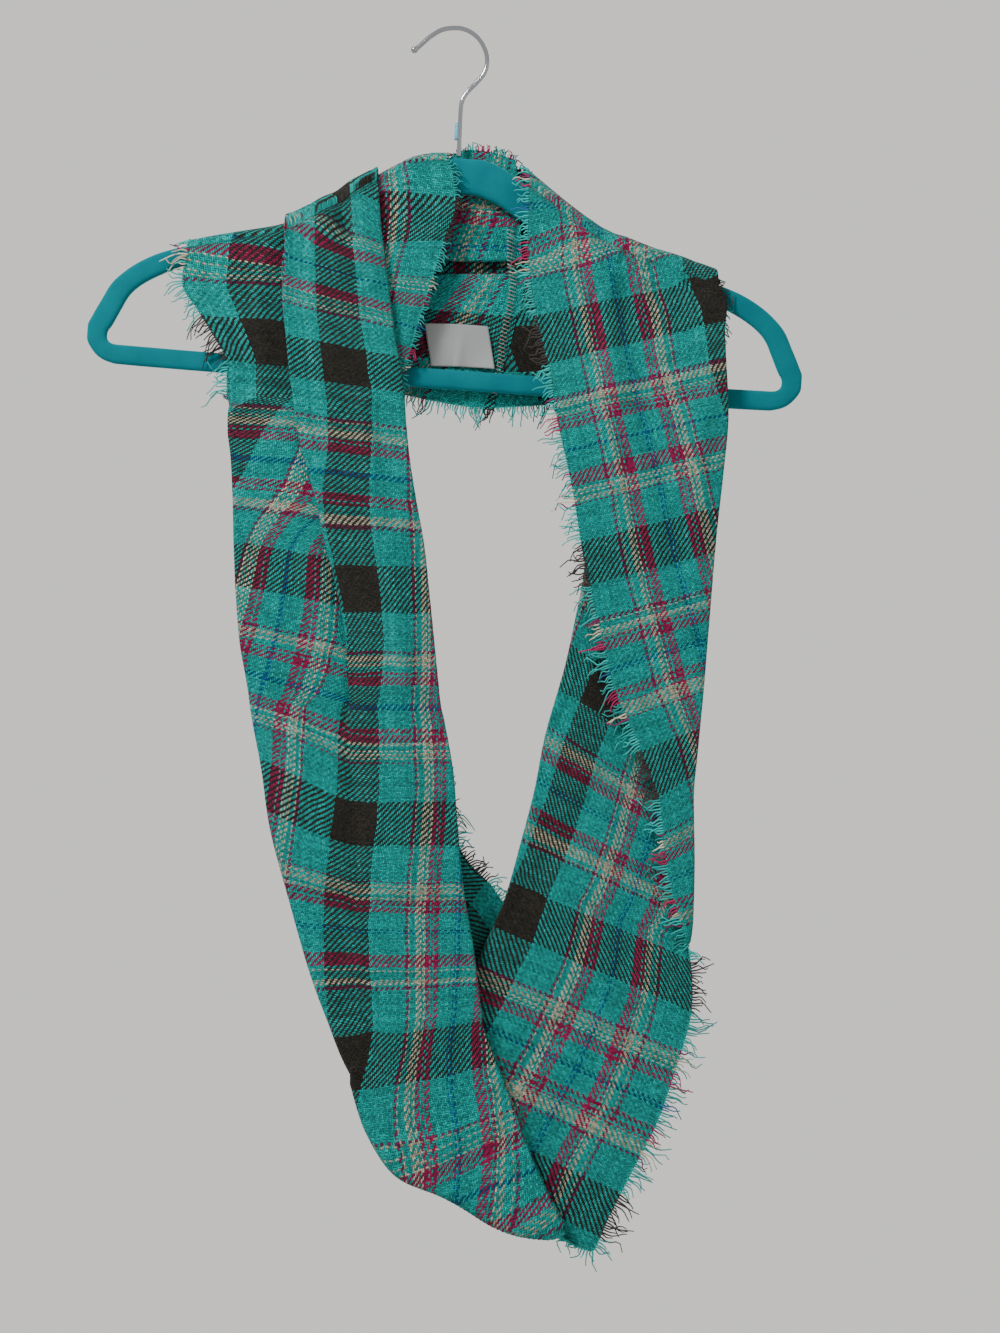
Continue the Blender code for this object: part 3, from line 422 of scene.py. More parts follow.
# Behind the neck left of the seam: over the arm in three layers, then towards the middle.
BACK_LEFT = table(ARM_COLUMNS, f"""
  0 {LEFT_ARM} -1.36 67.6 -1.24 91.4 -1.17 170.3 -0.69 234.8 -0.69 -0.49,
  30 {LEFT_ARM} -1.39 67.6 -1.27 91.4 -1.2 170.3 -0.72 234.8 -0.72 -0.52,
  60 {LEFT_ARM} -1.42 67.6 -1.3 91.4 -1.23 170.3 -0.75 234.8 -0.75 -0.55,
  90 {LEFT_ARM} -1.45 67.6 -1.33 91.4 -1.26 170.3 -0.78 234.8 -0.78 -0.58,
  90 -0.6 -75.7 -60.1 -130.8 -40.1 -113.3 -91.4 -152.7 -69.5 -142.1 -144.6 -171.5 6.2 2.9 0 0 0
    -1.48 67.6 -1.391 91.4 -1.322 170.3 -0.913 234.8 -0.905 -0.749,
  90 8.8 -73.2 -22.5 -140.2 -16.3 -112.1 -53.8 -177.8 -35.1 -152.7 -97.7 -199.7 6.2 2.9 0 0 0
    -1.56 67.6 -1.556 91.4 -1.49 170.3 -1.27 234.8 -1.241 -1.204,
  90 21.3 -74.5 8.8 -143.4 11.9 -108.9 -3.8 -190.3 2.5 -150.9 -41.3 -224.7 6.2 2.9 0 0 0 -1.634
    67.6 -1.706 91.4 -1.644 170.3 -1.596 234.8 -1.548 -1.62,
  90 28.2 -76.4 31.9 -143.4 30 -108.9 36.9 -190.3 35.7 -150.9 13.8 -236 6.2 2.9 0 0 0 -1.68 67.6
    -1.8 91.4 -1.74 170.3 -1.8 234.8 -1.74 -1.88
""")

# Over the left arm and down the front: hem turned in on the right, tuck on the left.
LEFT_SHOULDER = table(ARM_COLUMNS, f"""
  0 {LEFT_ARM} -1.36 67.6 -1.24 91.4 -1.17 170.3 -0.69 234.8 -0.69 -0.49,
  -30 {LEFT_ARM} -1.33 67.6 -1.21 91.4 -1.14 170.3 -0.66 234.8 -0.66 -0.46,
  -60 {LEFT_ARM} -1.3 67.6 -1.18 91.4 -1.11 170.3 -0.63 234.8 -0.63 -0.43,
  -90 {LEFT_ARM} -1.27 67.6 -1.15 91.4 -1.08 170.3 -0.6 234.8 -0.6 -0.4,
  -90 0 -108.3 -72.6 -135.8 -45.7 -127.7 -106.4 -146.5 -77 -142.1 -170.3 -159 7 3 0 0 0 -1.081
    64.2 -0.906 91.9 -0.801 169.5 -0.451 232.2 -0.403 -0.245,
  -90 -8.8 -138.3 -73.2 -168.4 -40.7 -167.1 -107.7 -168.4 -78.2 -170.3 -160.9 -175.9 8 3.1 0.5 0
    0 -0.858 60.8 -0.603 92.4 -0.45 168.8 -0.282 229.7 -0.205 -0.124,
  -90 -20 -174.7 -70.1 -190.3 -36.9 -195.3 -105.2 -193.4 -75.7 -193.4 -150.2 -193.4 9 3.4 1.5 0 0
    -0.588 57.5 -0.399 92.9 -0.198 168 -0.09 227.2 -0.044 0.001,
  -90 -29.4 -206.6 -66.4 -211 -33.8 -213.5 -103.3 -213.5 -73.9 -213.5 -142.7 -209.7 9.5 3.5 3 0 0
    -0.351 54.1 -0.206 93.4 -0.036 167.3 0.065 224.7 0.097 0.117,
  -90 -36.3 -231 -65.1 -231 -31.3 -231 -100.8 -231 -70.7 -231 -142.7 -229.7 9.5 3.5 3.5 0 0 -0.17
    50.7 -0.02 93.9 0.12 166.5 0.2 222.2 0.22 0.26
""")

# Down the left leg: hem, a tuck that fades out, and the outer part folded behind on the left.
LEFT_LEG = table("left_x left_z crest_x tuck right_x right_z hem_x in_x out_x out_z front "
                  "left flap flap_end in_k hem_t hem_k right_t right_k crest_t crest_k tuck_t "
                  "tuck_k left_t left_k out_k", """
  -137.7 -231 -100.8 30 -31.3 -231 -65.1 -36.3 -142.7 -229.7 16.5 9.5 9.3 9 0.15 50.7 0.13 93.9
    0.12 166.5 0.2 222.2 0.22 304.8 0.23 0.26,
  -140.8 -236 -100.2 28.8 -31 -236 -65.7 -36.9 -141.5 -232.9 16.5 9.5 8.2 6.2 0.187 50.4 0.167
    93.3 0.157 166.5 0.234 221 0.254 294.2 0.268 0.29,
  -141.8 -242.3 -99.5 27.5 -30.7 -242.3 -66.4 -37.6 -134.6 -237.3 16.5 9.5 6.6 6 0.234 50 0.214
    92.5 0.204 166.5 0.276 219.1 0.296 286.7 0.315 0.33,
  -142.1 -251 -98.3 26.3 -30 -251 -66.4 -37.6 -123.9 -244.8 16.5 9.5 6 6 0.298 49.4 0.278 91.4
    0.268 166.5 0.335 215.3 0.355 279.8 0.38 0.4,
  -140.2 -268.6 -93.9 23.8 -28.2 -268.6 -65.1 -35.7 -110.2 -259.2 16.5 9.5 6 6 0.428 48.3 0.408
    89.1 0.398 160.3 0.453 207.8 0.473 270.2 0.512 0.52,
  -139 -293.6 -87 21.3 -24.4 -293.6 -60.7 -31.9 -97.7 -284.2 16.5 9.5 6 6 0.613 46.7 0.593 86
    0.583 150.2 0.621 195.9 0.641 256.6 0.7 0.7,
  -138.3 -321.8 -80.8 11.3 -19.4 -321.8 -59.5 -27.5 -85.1 -306.1 16.5 9.5 6 6 0.822 45 0.802 82.4
    0.792 147.7 0.811 166.5 0.831 244.5 0.911 0.87,
  -137.1 -349.9 -73.9 7.5 -16.3 -349.9 -58.8 -23.8 -74.5 -321.8 16.5 10.5 7 6 1.03 43.2 1.01 78.8
    1 147.7 1 160.9 1.02 234.8 1.121 1,
  -134.6 -381.2 -68.2 5.6 -13.1 -381.2 -53.8 -20.7 -58.8 -349.9 16.5 11 8 6 1.245 41.2 1.225 74.9
    1.215 145.9 1.215 156.5 1.235 223.4 1.355 1.3,
  -129.6 -412.5 -66.4 3.1 -10 -412.5 -47 -16.9 -43.8 -375 16.5 11 8 5 1.461 39.2 1.441 70.9 1.431
    140.8 1.431 147.1 1.451 212 1.589 1.6,
  -128.3 -422.6 -65.7 0 -8.8 -422.6 -45.7 -15.7 -42.6 -383.1 16.5 11 8 5 1.53 38.6 1.51 69.7 1.5
    135.8 1.5 138.3 1.52 208.6 1.664 1.68,
  -126.5 -433.8 -65.1 -3.1 -6.3 -433.8 -43.8 -13.8 -40.1 -392.5 16.5 11.3 8.5 5 1.607 38 1.587
    68.4 1.577 135.4 1.577 138.9 1.597 205.3 1.748 1.77,
  -120.8 -462.6 -65.1 -7.5 -1.3 -462.6 -36.9 -8.8 -30.7 -414.4 16 14 9.5 5 1.806 36.3 1.786 65.1
    1.776 135.5 1.776 143.8 1.796 196.9 1.963 2,
  -115.2 -500.2 -64.5 -7.5 1.3 -495.2 -33.2 -6.3 -22.5 -437.6 15 15 9.5 4 2.03 34.5 2.01 61.5 2
    131.4 2.022 139.4 2.042 185.3 2.185 2.25,
  -103.3 -544 -61.3 -7.5 5 -534.6 -25 -2.5 -10 -465.7 15 15 9.5 3 2.323 31.1 2.303 54.7 2.293
    123.9 2.343 131.8 2.363 167.8 2.433 2.5,
  -90.8 -587.8 -53.8 -7.5 11.3 -572.2 -15 3.8 -2.5 -497 15 15 8.5 0 2.603 27.1 2.583 46.6 2.573
    116 2.642 124 2.662 155.5 2.681 2.75,
  -77 -625.4 -44.4 -7.5 15 -601.6 -6.9 7.5 5.6 -517.7 15 15 7 -4 2.822 23.8 2.802 40.1 2.792
    107.6 2.858 116.1 2.878 144.6 2.894 2.95,
  -65.1 -659.8 -35.1 -7.5 17.5 -622.9 -0.6 10 21.3 -534.6 15 15 5 -8 2.98 21.3 2.96 35.1 2.95
    92.5 3.038 100.6 3.058 125.2 3.087 3.12
""")

# Round the bottom: the front rolls under to the right and comes back up behind.
BOTTOM = table("left_x left_z right_x right_z hem in_back turn_x turn_z out_x out_z base "
                "base_end behind out_depth in_k hem_t hem_k right_t right_k left_t left_k "
                "turn_t turn_k out_k", """
  -65.1 -659.8 17.5 -622.9 18.2 7.5 -58.2 -649.8 21.3 -534.6 5 4 3.9 -8 2.95 21 2.95 35.1 2.95
    125.2 3.1 127.1 3.13 3.12,
  -56.3 -687.3 25.7 -644.2 16.3 6.9 -52 -667.9 40.1 -562.8 4 3 -3 -12 3.1 18 3.1 30 3.1 111.4
    3.25 128.3 3.4 3.3,
  -37.6 -714.9 36.3 -672.3 15 6.3 -47 -680.5 62.6 -600.3 3 2.2 -8 -12 3.28 14.6 3.28 24.4 3.28
    98.9 3.35 129.6 3.6 3.6,
  -5.6 -729.3 46.3 -699.2 13.8 5.6 -43.8 -687.3 82.6 -631.6 2 2 -9 -9.5 3.45 10.5 3.45 17.5 3.45
    65.7 3.5 130.8 3.8 3.85,
  21.9 -746.2 57.6 -723 12.5 5 -40.7 -688.6 85.1 -634.8 2 2 -7.75 -7.75 3.6 6.8 3.6 11.3 3.6 36.3
    3.62 132.1 3.9 3.95,
  46.3 -755.6 66.4 -738.1 10.6 4.4 -36.9 -685.5 87.6 -632.3 2 2 -6 -6 3.7 3.8 3.7 6.3 3.7 20 3.72
    133.3 3.97 4,
  66.4 -761.2 76.4 -752.5 8.1 3.8 -26.3 -670.4 91.4 -616.6 2 2 -6 -6 3.77 1.3 3.77 2.2 3.77 7.5
    3.78 134.6 4.05 4.1
""")

# Up the base panel: raw edge outside on the right, folded back along the left.
BASE = table("in_x in_z turn_x turn_z back_x back_z out_x out_z base behind in_k turn_t "
              "turn_k back_t back_k out_k", """
  59.5 -751.2 -23.8 -666.7 93.3 -612.9 85.1 -616.6 2 8 3.77 134.6 4.1 251.7 4.12 4.1,
  70.7 -758.1 -21.9 -662.9 94.5 -610.4 86.4 -614.1 2 8 3.8 135.8 4.13 251.5 4.17 4.15,
  83.9 -763.1 -19.4 -656.7 95.8 -607.2 87.6 -611 2 8 3.83 137.1 4.17 251.4 4.22 4.2,
  96.4 -740.6 -13.8 -644.2 101.4 -600.3 92.6 -603.5 2 8 4 138.3 4.28 251.3 4.33 4.33,
  109.5 -714.9 -6.3 -625.4 108.9 -592.8 97.7 -594.7 2 7.5 4.2 139.6 4.42 251.2 4.47 4.5,
  125.2 -684.2 4.4 -601.6 117.1 -585.3 100.8 -584.1 2 7 4.43 141.5 4.6 251 4.62 4.65,
  137.1 -650.4 16.3 -575.3 123.9 -581.6 96.4 -572.8 2 6.5 4.66 143.4 4.8 250.9 4.8 4.8,
  146.5 -617.9 25 -556.5 128.3 -577.2 90.1 -562.1 2 6 4.88 144.6 4.93 250.8 4.95 4.95,
  147.7 -592.8 30 -544 130.8 -574 82.6 -551.5 2 5.5 5.03 145.9 5.02 250.7 5.05 5.05,
  145.9 -572.2 35.7 -525.2 134 -559.6 81.4 -539 2 5 5.17 147.7 5.15 250.5 5.17 5.17
""")

# Up the right leg: the raw edge crosses in front as a flap over the folded panel.
RIGHT_LEG = table("in_x in_z right_x right_z turn_x turn_z back_x back_z out_x out_z flap "
                   "base behind in_k right_t right_k turn_t turn_k back_t back_k out_k", """
  141.5 -566.5 147.7 -571.5 35.7 -524.6 134 -559 81.4 -538.4 6 2 5 5.22 3.1 5.17 149.6 5.16 250.4
    5.17 5.17,
  130.2 -520.2 149 -520.2 48.2 -478.3 143.4 -512.7 87 -493.9 7 2.5 4 5.6 18.8 5.53 155.9 5.45
    249.1 5.5 5.45,
  126.5 -484.5 148.4 -481.4 55.7 -440.7 146.5 -475.1 90.1 -459.5 8 3 3.7 5.87 28.8 5.8 161.5 5.7
    248.5 5.78 5.75,
  115.2 -451.3 150.9 -450.1 67.6 -398.8 147.7 -442.6 90.1 -418.8 9 4 3.5 6.1 37.6 6 167.8 6 247.3
    6 6,
  98.3 -412.5 154.6 -410 73.9 -370 150.2 -401.3 91.4 -381.2 10 5.5 3.5 6.42 55.1 6.3 172.8 6.2
    246 6.28 6.25,
  88.3 -371.8 157.8 -368.7 78.9 -343.7 152.7 -359.9 93.3 -340.5 11 7 3.5 6.72 70.1 6.6 178.4 6.4
    245.4 6.55 6.55,
  79.5 -332.4 161.5 -321.8 82 -312.4 155.2 -317.4 95.2 -303 12.5 9 3.5 7.02 87.6 6.94 183.4 6.6
    244.1 6.85 6.8,
  72 -287.3 165.9 -279.8 83.3 -271.7 157.8 -277.9 97.7 -265.4 14.5 11 3.5 7.35 103.3 7.24 190.9
    6.87 243.5 7.12 7.1,
  62.6 -244.8 169 -242.3 84.5 -234.1 162.8 -240.4 115.2 -234.1 16.5 13 3.5 7.65 118.9 7.5 198.4
    7.13 242.3 7.4 7.4,
  58.2 -217.2 167.8 -213.5 85.1 -203.4 163.4 -209.7 147.7 -207.2 16.5 13 3.5 7.86 128.3 7.7 204.7
    7.35 241.6 7.6 7.6
""")

# Up to the right arm and over it: flap, panel and back layer.
RIGHT_SHOULDER = table("over in_x in_z right_x right_z turn_x turn_z out_x out_z depth pitch "
                        "ride in_k right_t right_k turn_t turn_k out_k", f"""
  -90 58.2 -217.2 167.8 -213.5 85.1 -203.4 162.1 -209.7 9.5 3.5 0 7.86 128.3 7.7 204.7 7.35 7.6,
  -90 53.2 -196.6 167.1 -190.3 86.4 -182.2 164.6 -188.4 8 3.3 0 8 131.5 7.86 209.1 7.5 7.75,
  -90 48.8 -175.9 168.4 -175.9 87 -162.1 167.1 -174.7 7 3 0 8.14 134.6 7.95 214.1 7.62 7.88,
  -90 44.4 -144.6 167.8 -170.3 88.9 -148.4 165.3 -169.6 6.3 2.9 0 8.36 139 8 220.4 7.78 7.98,
  -90 {RIGHT_ARM} 8.68 140.8 8.05 225.4 8 8.05,
  -60 {RIGHT_ARM} 8.73 140.8 8.09 225.4 8.04 8.08,
  -30 {RIGHT_ARM} 8.78 140.8 8.12 225.4 8.08 8.11,
  0 {RIGHT_ARM} 8.83 140.8 8.15 225.4 8.12 8.14
""")

# Behind the neck right of the seam.
BACK_RIGHT = table("over in_x in_z right_x right_z turn_x turn_z out_x out_z depth pitch ride "
                    "ease drop in_k right_t right_k turn_t turn_k out_k", f"""
  0 {RIGHT_ARM} 0 0 8.83 140.8 8.15 225.4 8.12 8.14,
  30 {RIGHT_ARM} 0 0 8.85 140.8 8.18 225.4 8.16 8.17,
  60 {RIGHT_ARM} 0 0 8.87 140.8 8.22 225.4 8.2 8.2,
  90 {RIGHT_ARM} 0 0 8.9 140.8 8.25 225.4 8.24 8.23,
  90 40.7 -87 154.6 -168.4 87.6 -144.6 154.6 -169.6 6 2.9 1 0.2 9 8.93 140.8 8.33 225.4 8.3 8.35,
  90 36.3 -80.8 108.9 -196.6 68.2 -152.7 108.9 -221.6 6.2 2.9 0 0.8 9 8.96 140.8 8.65 225.4 8.55
    8.75,
  90 32.6 -77.6 74.5 -196.6 55.7 -152.7 68.2 -232.2 6.2 2.9 0 1.5 9 8.98 140.8 8.88 225.4 8.75
    9.03,
  90 28.8 -76.4 37.5 -190.3 36.3 -150.9 14.4 -236 6.2 2.9 0 2 9 9 140.8 9.1 225.4 9 9.3
""")


def left_band(t):
    """Down the left leg: edge, hem, right fold, crest, tuck, left fold, edge.

    The inner stops lie on the straight line from the left fold to the right one.
    """
    front, low = t["front"], t["left"]
    slope = (t["right_z"] - t["left_z"]) / (t["right_x"] - t["left_x"])
    t["tuck_x"] = t["crest_x"] + t["tuck"]
    for name in ("in", "hem", "crest", "tuck"):
        t[name + "_z"] = t["left_z"] + slope * (t[name + "_x"] - t["left_x"])
    step = (front - low) / 2.0
    depths = [front - 2 * LAYER, front - LAYER, front, (front - 0.85 * step, front - 1.15 * step),
              low, (t["flap"], t["flap_end"])]
    return "in hem right crest tuck left out", depths, [0, 0, 2.5, 0, 1.5, 0]


def bottom_turn(t):
    """Round the bottom: edge, hem, right fold, left fold, inner turn, edge.

    The edge and the hem lie on the straight line from the right fold to the left one.
    """
    left, right = (np.stack([t[name + "_x"], t[name + "_z"]]) for name in ("left", "right"))
    side = (left - right) / np.linalg.norm(left - right, axis=0)
    t["hem_x"], t["hem_z"] = right + side * t["hem"]
    t["in_x"], t["in_z"] = right + side * t["in_back"]
    depths = [BOTTOM_FRONT - 2 * LAYER, BOTTOM_FRONT - LAYER, BOTTOM_FRONT,
              (t["base"], t["base_end"]), (t["behind"], t["out_depth"])]
    return "in hem right left turn out", depths, [0, 0, 2.0, 0, 0]


def base_panel(t):
    """Up the base panel: edge, left fold, back fold, edge."""
    back = t["base"] - t["behind"]
    return "in turn back out", [t["base"], back, back - LAYER], [0, 0, 0]


def right_band(t):
    """Up the right leg: edge, right fold, left fold, back fold, edge."""
    back = t["base"] - t["behind"]
    depths = [(t["flap"] + 0.6, t["flap"]), t["base"], back, (back - 3.3, back - 3.9)]
    return "in right turn back out", depths, [1.5, 0, 0, 0]


def right_arm(t):
    """Over the right arm: edge, right fold, left fold, edge."""
    low, p = t["depth"], t["pitch"]
    depths = [(low + 2 * p - t["ease"], low + 2 * p), low + p, low]
    return "in right turn out", depths, [0.5 * (p - FLAT_PITCH), 0, 0]


def welded(parts, reach=14):
    """The stretches as one grid: the step at each join is shared out over reach rows on both sides.

    A row j away from the join moves by half the step times the square of (1 - j / reach).
    """
    fade = 0.5 * (1.0 - np.arange(reach) / reach) ** 2
    parts = [[p[0].copy(), p[2].copy()] for p in parts]
    for a, b in zip(parts, parts[1:]):
        for field in (0, 1):
            step = b[field][0] - a[field][-1]
            shape = (reach,) + (1,) * step.ndim
            a[field][-reach:] += fade[::-1].reshape(shape) * step
            b[field][:reach] -= fade.reshape(shape) * step
    rows = np.cumsum([0] + [len(p[0]) - 1 for p in parts])
    grid, weft = (np.concatenate([p[i][:-1] for p in parts] + [parts[-1][i][-1:]]) for i in (0, 1))
    return grid, weft, rows


# each crease: a line on the strip from (t0, k0) to (t1, k1), its half width and its height
CREASES = table("t0 k0 t1 k1 wide high", """
  120 0.2 100 1.4 7 2.4, 100 1.2 92 2.3 9 2.1, 150 0.7 128 2.1 6 -2, 215 1.5 170 2.7 8 2.4,
  230 1.9 215 2.6 5 -1.8, 70 1.9 66 2.8 5 -1.5, 150 2.4 105 3.2 7 -2.2, 120 2.7 60 3.5 8 2.2,
  40 3 25 3.5 4 -1.5, 60 4 130 4.6 8 -2.1, 110 4 60 4.9 7 2.1, 30 4.4 90 5.4 6 -1.8,
  150 4.7 110 5.6 7 1.8, 170 5.2 150 5.9 6 -1.8, 60 6.6 100 7.6 8 2.2, 110 6.9 150 7.9 6 -2,
  30 7.3 60 8.3 6 1.8, 170 7.4 190 8.2 6 2, 60 8.2 110 8.9 5 -1.5, 205 -0.7 235 0.3 6 -2,
  185 -0.8 190 0.4 6 2.1, 260 -0.6 285 0.3 6 1.8, 128 -0.95 112 -0.5 5 -3.4,
  112 -1 102 -0.5 7 3.8, 140 -0.85 128 -0.45 6 2, 80 8.42 112 8.3 10 2.4, 48 8.35 44 7.7 9 2.4,
  66 8.1 62 7.3 7 -2, 30 7.6 36 6.9 8 1.8, 60 8.5 60 8.3 6 -1.8, 122 8.3 122 8.1 6 -1.5,
  80 -1.1 60 -0.8 7 2, 100 -1.25 96 -1 7 1.8, 150 -1 150 -0.75 8 1.6, 165 -0.9 172 -0.6 4 -1.6,
  240 -0.6 250 -0.45 7 1.8, 20 -1.3 30 -0.9 6 1.5, 60 -0.2 78 0.9 9 2.4, 84 -0.1 96 0.8 6 -2,
  190 0.5 176 1.3 9 2.2
""")


CREASE_STEPS = 12
CREASE_DEPTH = 12.0


def creased(grid, across, weft):
    """Soft ridges and troughs: each a bell in x and z about a line drawn on the strip, along y.

    The shift fades with the distance in y from the creased layer, as a smooth step over
    CREASE_DEPTH.  It falls more slowly than y grows, so the layers keep their order.
    """
    grid, flat = grid.copy(), grid[..., [0, 2]]
    facing_y = facing(grid)[..., 1]
    f = np.linspace(0.0, 1.0, CREASE_STEPS)
    for t0, k0, t1, k1, wide, high in CREASES["rows"]:
        column = np.abs(across[None, :] - (t0 + (t1 - t0) * f)[:, None]).argmin(axis=1)
        row = np.abs(weft[:, column] - (k0 + (k1 - k0) * f)[None, :]).argmin(axis=0)
        path = grid[row, column]
        side = math.copysign(1.0, facing_y[row, column].mean())
        nearest = np.full(grid.shape[:2], np.inf)
        level = np.zeros(grid.shape[:2])
        for a, b in zip(path, path[1:]):
            step, offset = (b - a)[[0, 2]], flat - a[[0, 2]]
            along = np.clip(offset @ step / max(step @ step, 1e-9), 0.0, 1.0)
            off = np.linalg.norm(offset - along[..., None] * step, axis=-1)
            closer = off < nearest
            nearest = np.where(closer, off, nearest)
            level = np.where(closer, a[1] + along * (b[1] - a[1]), level)
        away = np.clip(np.abs(grid[..., 1] - level) / CREASE_DEPTH, 0.0, 1.0)
        fade = 1.0 - away * away * (3.0 - 2.0 * away)
        grid[..., 1] += side * high * np.exp(-(nearest / wide) ** 2) * fade
    return grid


# name of the piece, its CAD node, how the cloth is held there, its table and its laying
STRETCHES = [
    ("back_left", "back_neck_left", "draped", BACK_LEFT, shoulder),
    ("left_shoulder", "left_shoulder", "draped", LEFT_SHOULDER, shoulder),
    ("left_leg", "left_leg", "hung", LEFT_LEG, left_band),
    ("bottom_turn", "bottom_turn", "hung", BOTTOM, bottom_turn),
    ("base_panel", "base_panel", "hung", BASE, base_panel),
    ("right_leg", "right_leg", "hung", RIGHT_LEG, right_band),
    ("right_shoulder", "right_shoulder", "draped", RIGHT_SHOULDER, right_arm),
    ("back_right", "back_neck_right", "draped", BACK_RIGHT, right_arm),
]
laid = [stretch(data, laying) for *_, data, laying in STRETCHES]
first_grid, across, first_weft = laid[0]
laid[0] = (first_grid[::-1], across, first_weft[::-1])
strip, weft, joins = welded(laid)

# both ends run on past the seam as its turnings, one on each face of the cloth
TURNING_ROWS = 4
LEFT_TURNING_ROWS = 6
TURNING_STEP = 1.6
TURNING_GAP = 0.45


def turning(end, before, normals, rows, gap):
    """Rows that carry the cloth on past an end row, set off along its normals by gap."""
    reach = np.arange(1, rows + 1)[:, None, None] * TURNING_STEP
    return end + gap * normals + reach * unit(end - before)


end_normals = facing(strip)
right_turning = turning(strip[-1], strip[-2], end_normals[-1], TURNING_ROWS, TURNING_GAP)
left_turning = turning(strip[0], strip[1], end_normals[0], LEFT_TURNING_ROWS, -TURNING_GAP)
strip = np.concatenate([left_turning[::-1], strip, right_turning])
past = np.arange(1, LEFT_TURNING_ROWS + 1)[:, None] * TURNING_STEP / SETT
weft = np.concatenate([weft[0] - past[::-1], weft, weft[-1] + past[:TURNING_ROWS]])
joins[1:] += LEFT_TURNING_ROWS
joins[-1] += TURNING_ROWS
strip = rumple(creased(strip, across, weft))
strip_normals = facing(strip)
twill_cloth = twill()
for (place, node, *_), first, last in zip(STRETCHES, joins, joins[1:]):
    rows = slice(first, last + 1)
    cloth("scarf_" + place, strip[rows], strip_normals[rows], across, weft[rows],
                        twill_cloth, node)


# ------------------------
# Fringe.  Both long edges are raw: the last warp yarns are drawn out, so the weft yarns hang
# loose for about 10 mm, in the colours they have in the cloth.
YARN_GAP = 1.7
YARN_RADIUS = 0.72
ASKEW = np.array([0.13, 0.21, 0.97])  # no yarn runs along this


def loose_ends(grid, weft, side, seed, longest):
    """Yarn ends along a raw edge: centre lines (yarns, points, 3), their weft place and tone.

    A yarn leaves the edge square to it, bends down as the square of its length and curls by a
    sine whose height grows along it.
    """
    rng = np.random.default_rng(seed)
    edge, inner = (grid[:, 0], grid[:, 2]) if side == "in" else (grid[:, -1], grid[:, -3])
    count = weft[:, 0] if side == "in" else weft[:, -1]
    walked = walk(edge)
    at = np.arange(0.3, walked[-1], YARN_GAP)
    at = at + rng.uniform(-0.45, 0.45, len(at))
    along = unit(np.gradient(edge, axis=0))
    outward = edge - inner
    outward = unit(outward - along * np.sum(outward * along, axis=1, keepdims=True))
    root, out, way = (np.stack([np.interp(at, walked, part[:, i]) for i in range(3)], axis=1)
                      for part in (edge, outward, along))
    lock = np.sin(at / 3.1 + seed) + 0.6 * np.sin(at / 7.3 + 2 * seed)
    length = longest * np.clip(0.56 + 0.16 * lock + rng.normal(0, 0.2, len(at)), 0.2, 1.1)
    f = np.linspace(-0.12, 1.0, 7)[None, :, None]
    lean = (0.28 * lock + rng.normal(0, 0.22, len(at)))[:, None, None]
    curl = rng.normal(0, 0.21, (len(at), 1, 1)) * np.sin(f * 6.0 + rng.uniform(0, 6.3, (len(at), 1, 1)))
    lift = rng.normal(0, 0.10, (len(at), 1, 1))
    span = length[:, None, None]
    toward = np.cross(out, way)
    line = root[:, None] + span * (out[:, None] * f + way[:, None] * (lean * f * np.abs(f) + curl * f)
                                   + toward[:, None] * lift * f * np.abs(f))
    line[..., 2] -= (span * 0.22 * f * np.abs(f))[..., 0]
    return line, np.interp(at, walked, count), rng.uniform(0.0, 1.0, len(at))


def yarns(name, line, count, tone, material, slot, nodes, radius):
    """Three-sided tubes along the centre lines, half as thick at the tip."""
    n, points = line.shape[:2]
    run = unit(np.gradient(line, axis=1))
    first = unit(np.cross(run, ASKEW))
    second = np.cross(run, first)
    thick = radius * np.linspace(1.0, 0.5, points)[None, :, None]
    angle = np.array([0.0, 2.0, 4.0]) * math.pi / 3.0
    ring = line[:, :, None] + thick[..., None] * (first[:, :, None] * np.cos(angle)[:, None]
                                                  + second[:, :, None] * np.sin(angle)[:, None])
    index = np.arange(n * points * 3).reshape(n, points, 3)
    nxt = np.roll(index, -1, axis=2)
    quads = np.stack([index[:, :-1], nxt[:, :-1], nxt[:, 1:], index[:, 1:]], axis=-1).reshape(-1, 4)
    caps = np.concatenate([index[:, 0, ::-1], index[:, -1]])
    uv = np.empty((n, points, 3, 2))
    uv[..., 0], uv[..., 1] = tone[:, None, None], (count * SETT * MM)[:, None, None]
    return add_piece(name, ring, quads.tolist() + caps.tolist(), material, slot, nodes, uv)


def yarn():
    """Loose weft yarn: the sett's colour at its place along the strip, each yarn a little off."""
    n = Nodes("loose_yarn")
    tone, along = n.split(n.add("ShaderNodeUVMap", uv_map="weave"))
    place = n.math("ADD", n.math("DIVIDE", along, SETT * MM), WEFT_START + FAR)
    colour = n.stripes(place, n.math("FRACT", n.math("MULTIPLY", tone, 37.0)))
    return n.finish(Base_Color=n.times(colour, n.math("MULTIPLY_ADD", tone, 0.4, 0.45)),
                    Roughness=0.9, Sheen_Weight=0.05)


loose_yarn = yarn()
# stretch, node's own name, longest yarn on the inner and on the outer edge
EDGES = [("back_left", 6.0, 11.0), ("left_shoulder", 6.0, 14.0), ("left_leg", 6.0, 13.0),
         ("bottom", 6.0, 10.0), ("base", 15.0, 9.0), ("right_leg", 14.0, 9.0),
         ("right_shoulder", 12.0, 9.0), ("back_right", 9.0, 11.0)]
for order, ((place, inner, outer), first, last) in enumerate(zip(EDGES, joins, joins[1:])):
    rows = slice(first, last + 1)
    for side, longest in (("in", inner), ("out", outer)):
        ends = loose_ends(strip[rows], weft[rows], side, 2 * order + (side == "out"), longest)
        yarns("yarns_%s_%s" % (side, place), *ends, loose_yarn, "yarn",
                             ["fringe_%s_%s" % (side, place)], YARN_RADIUS)


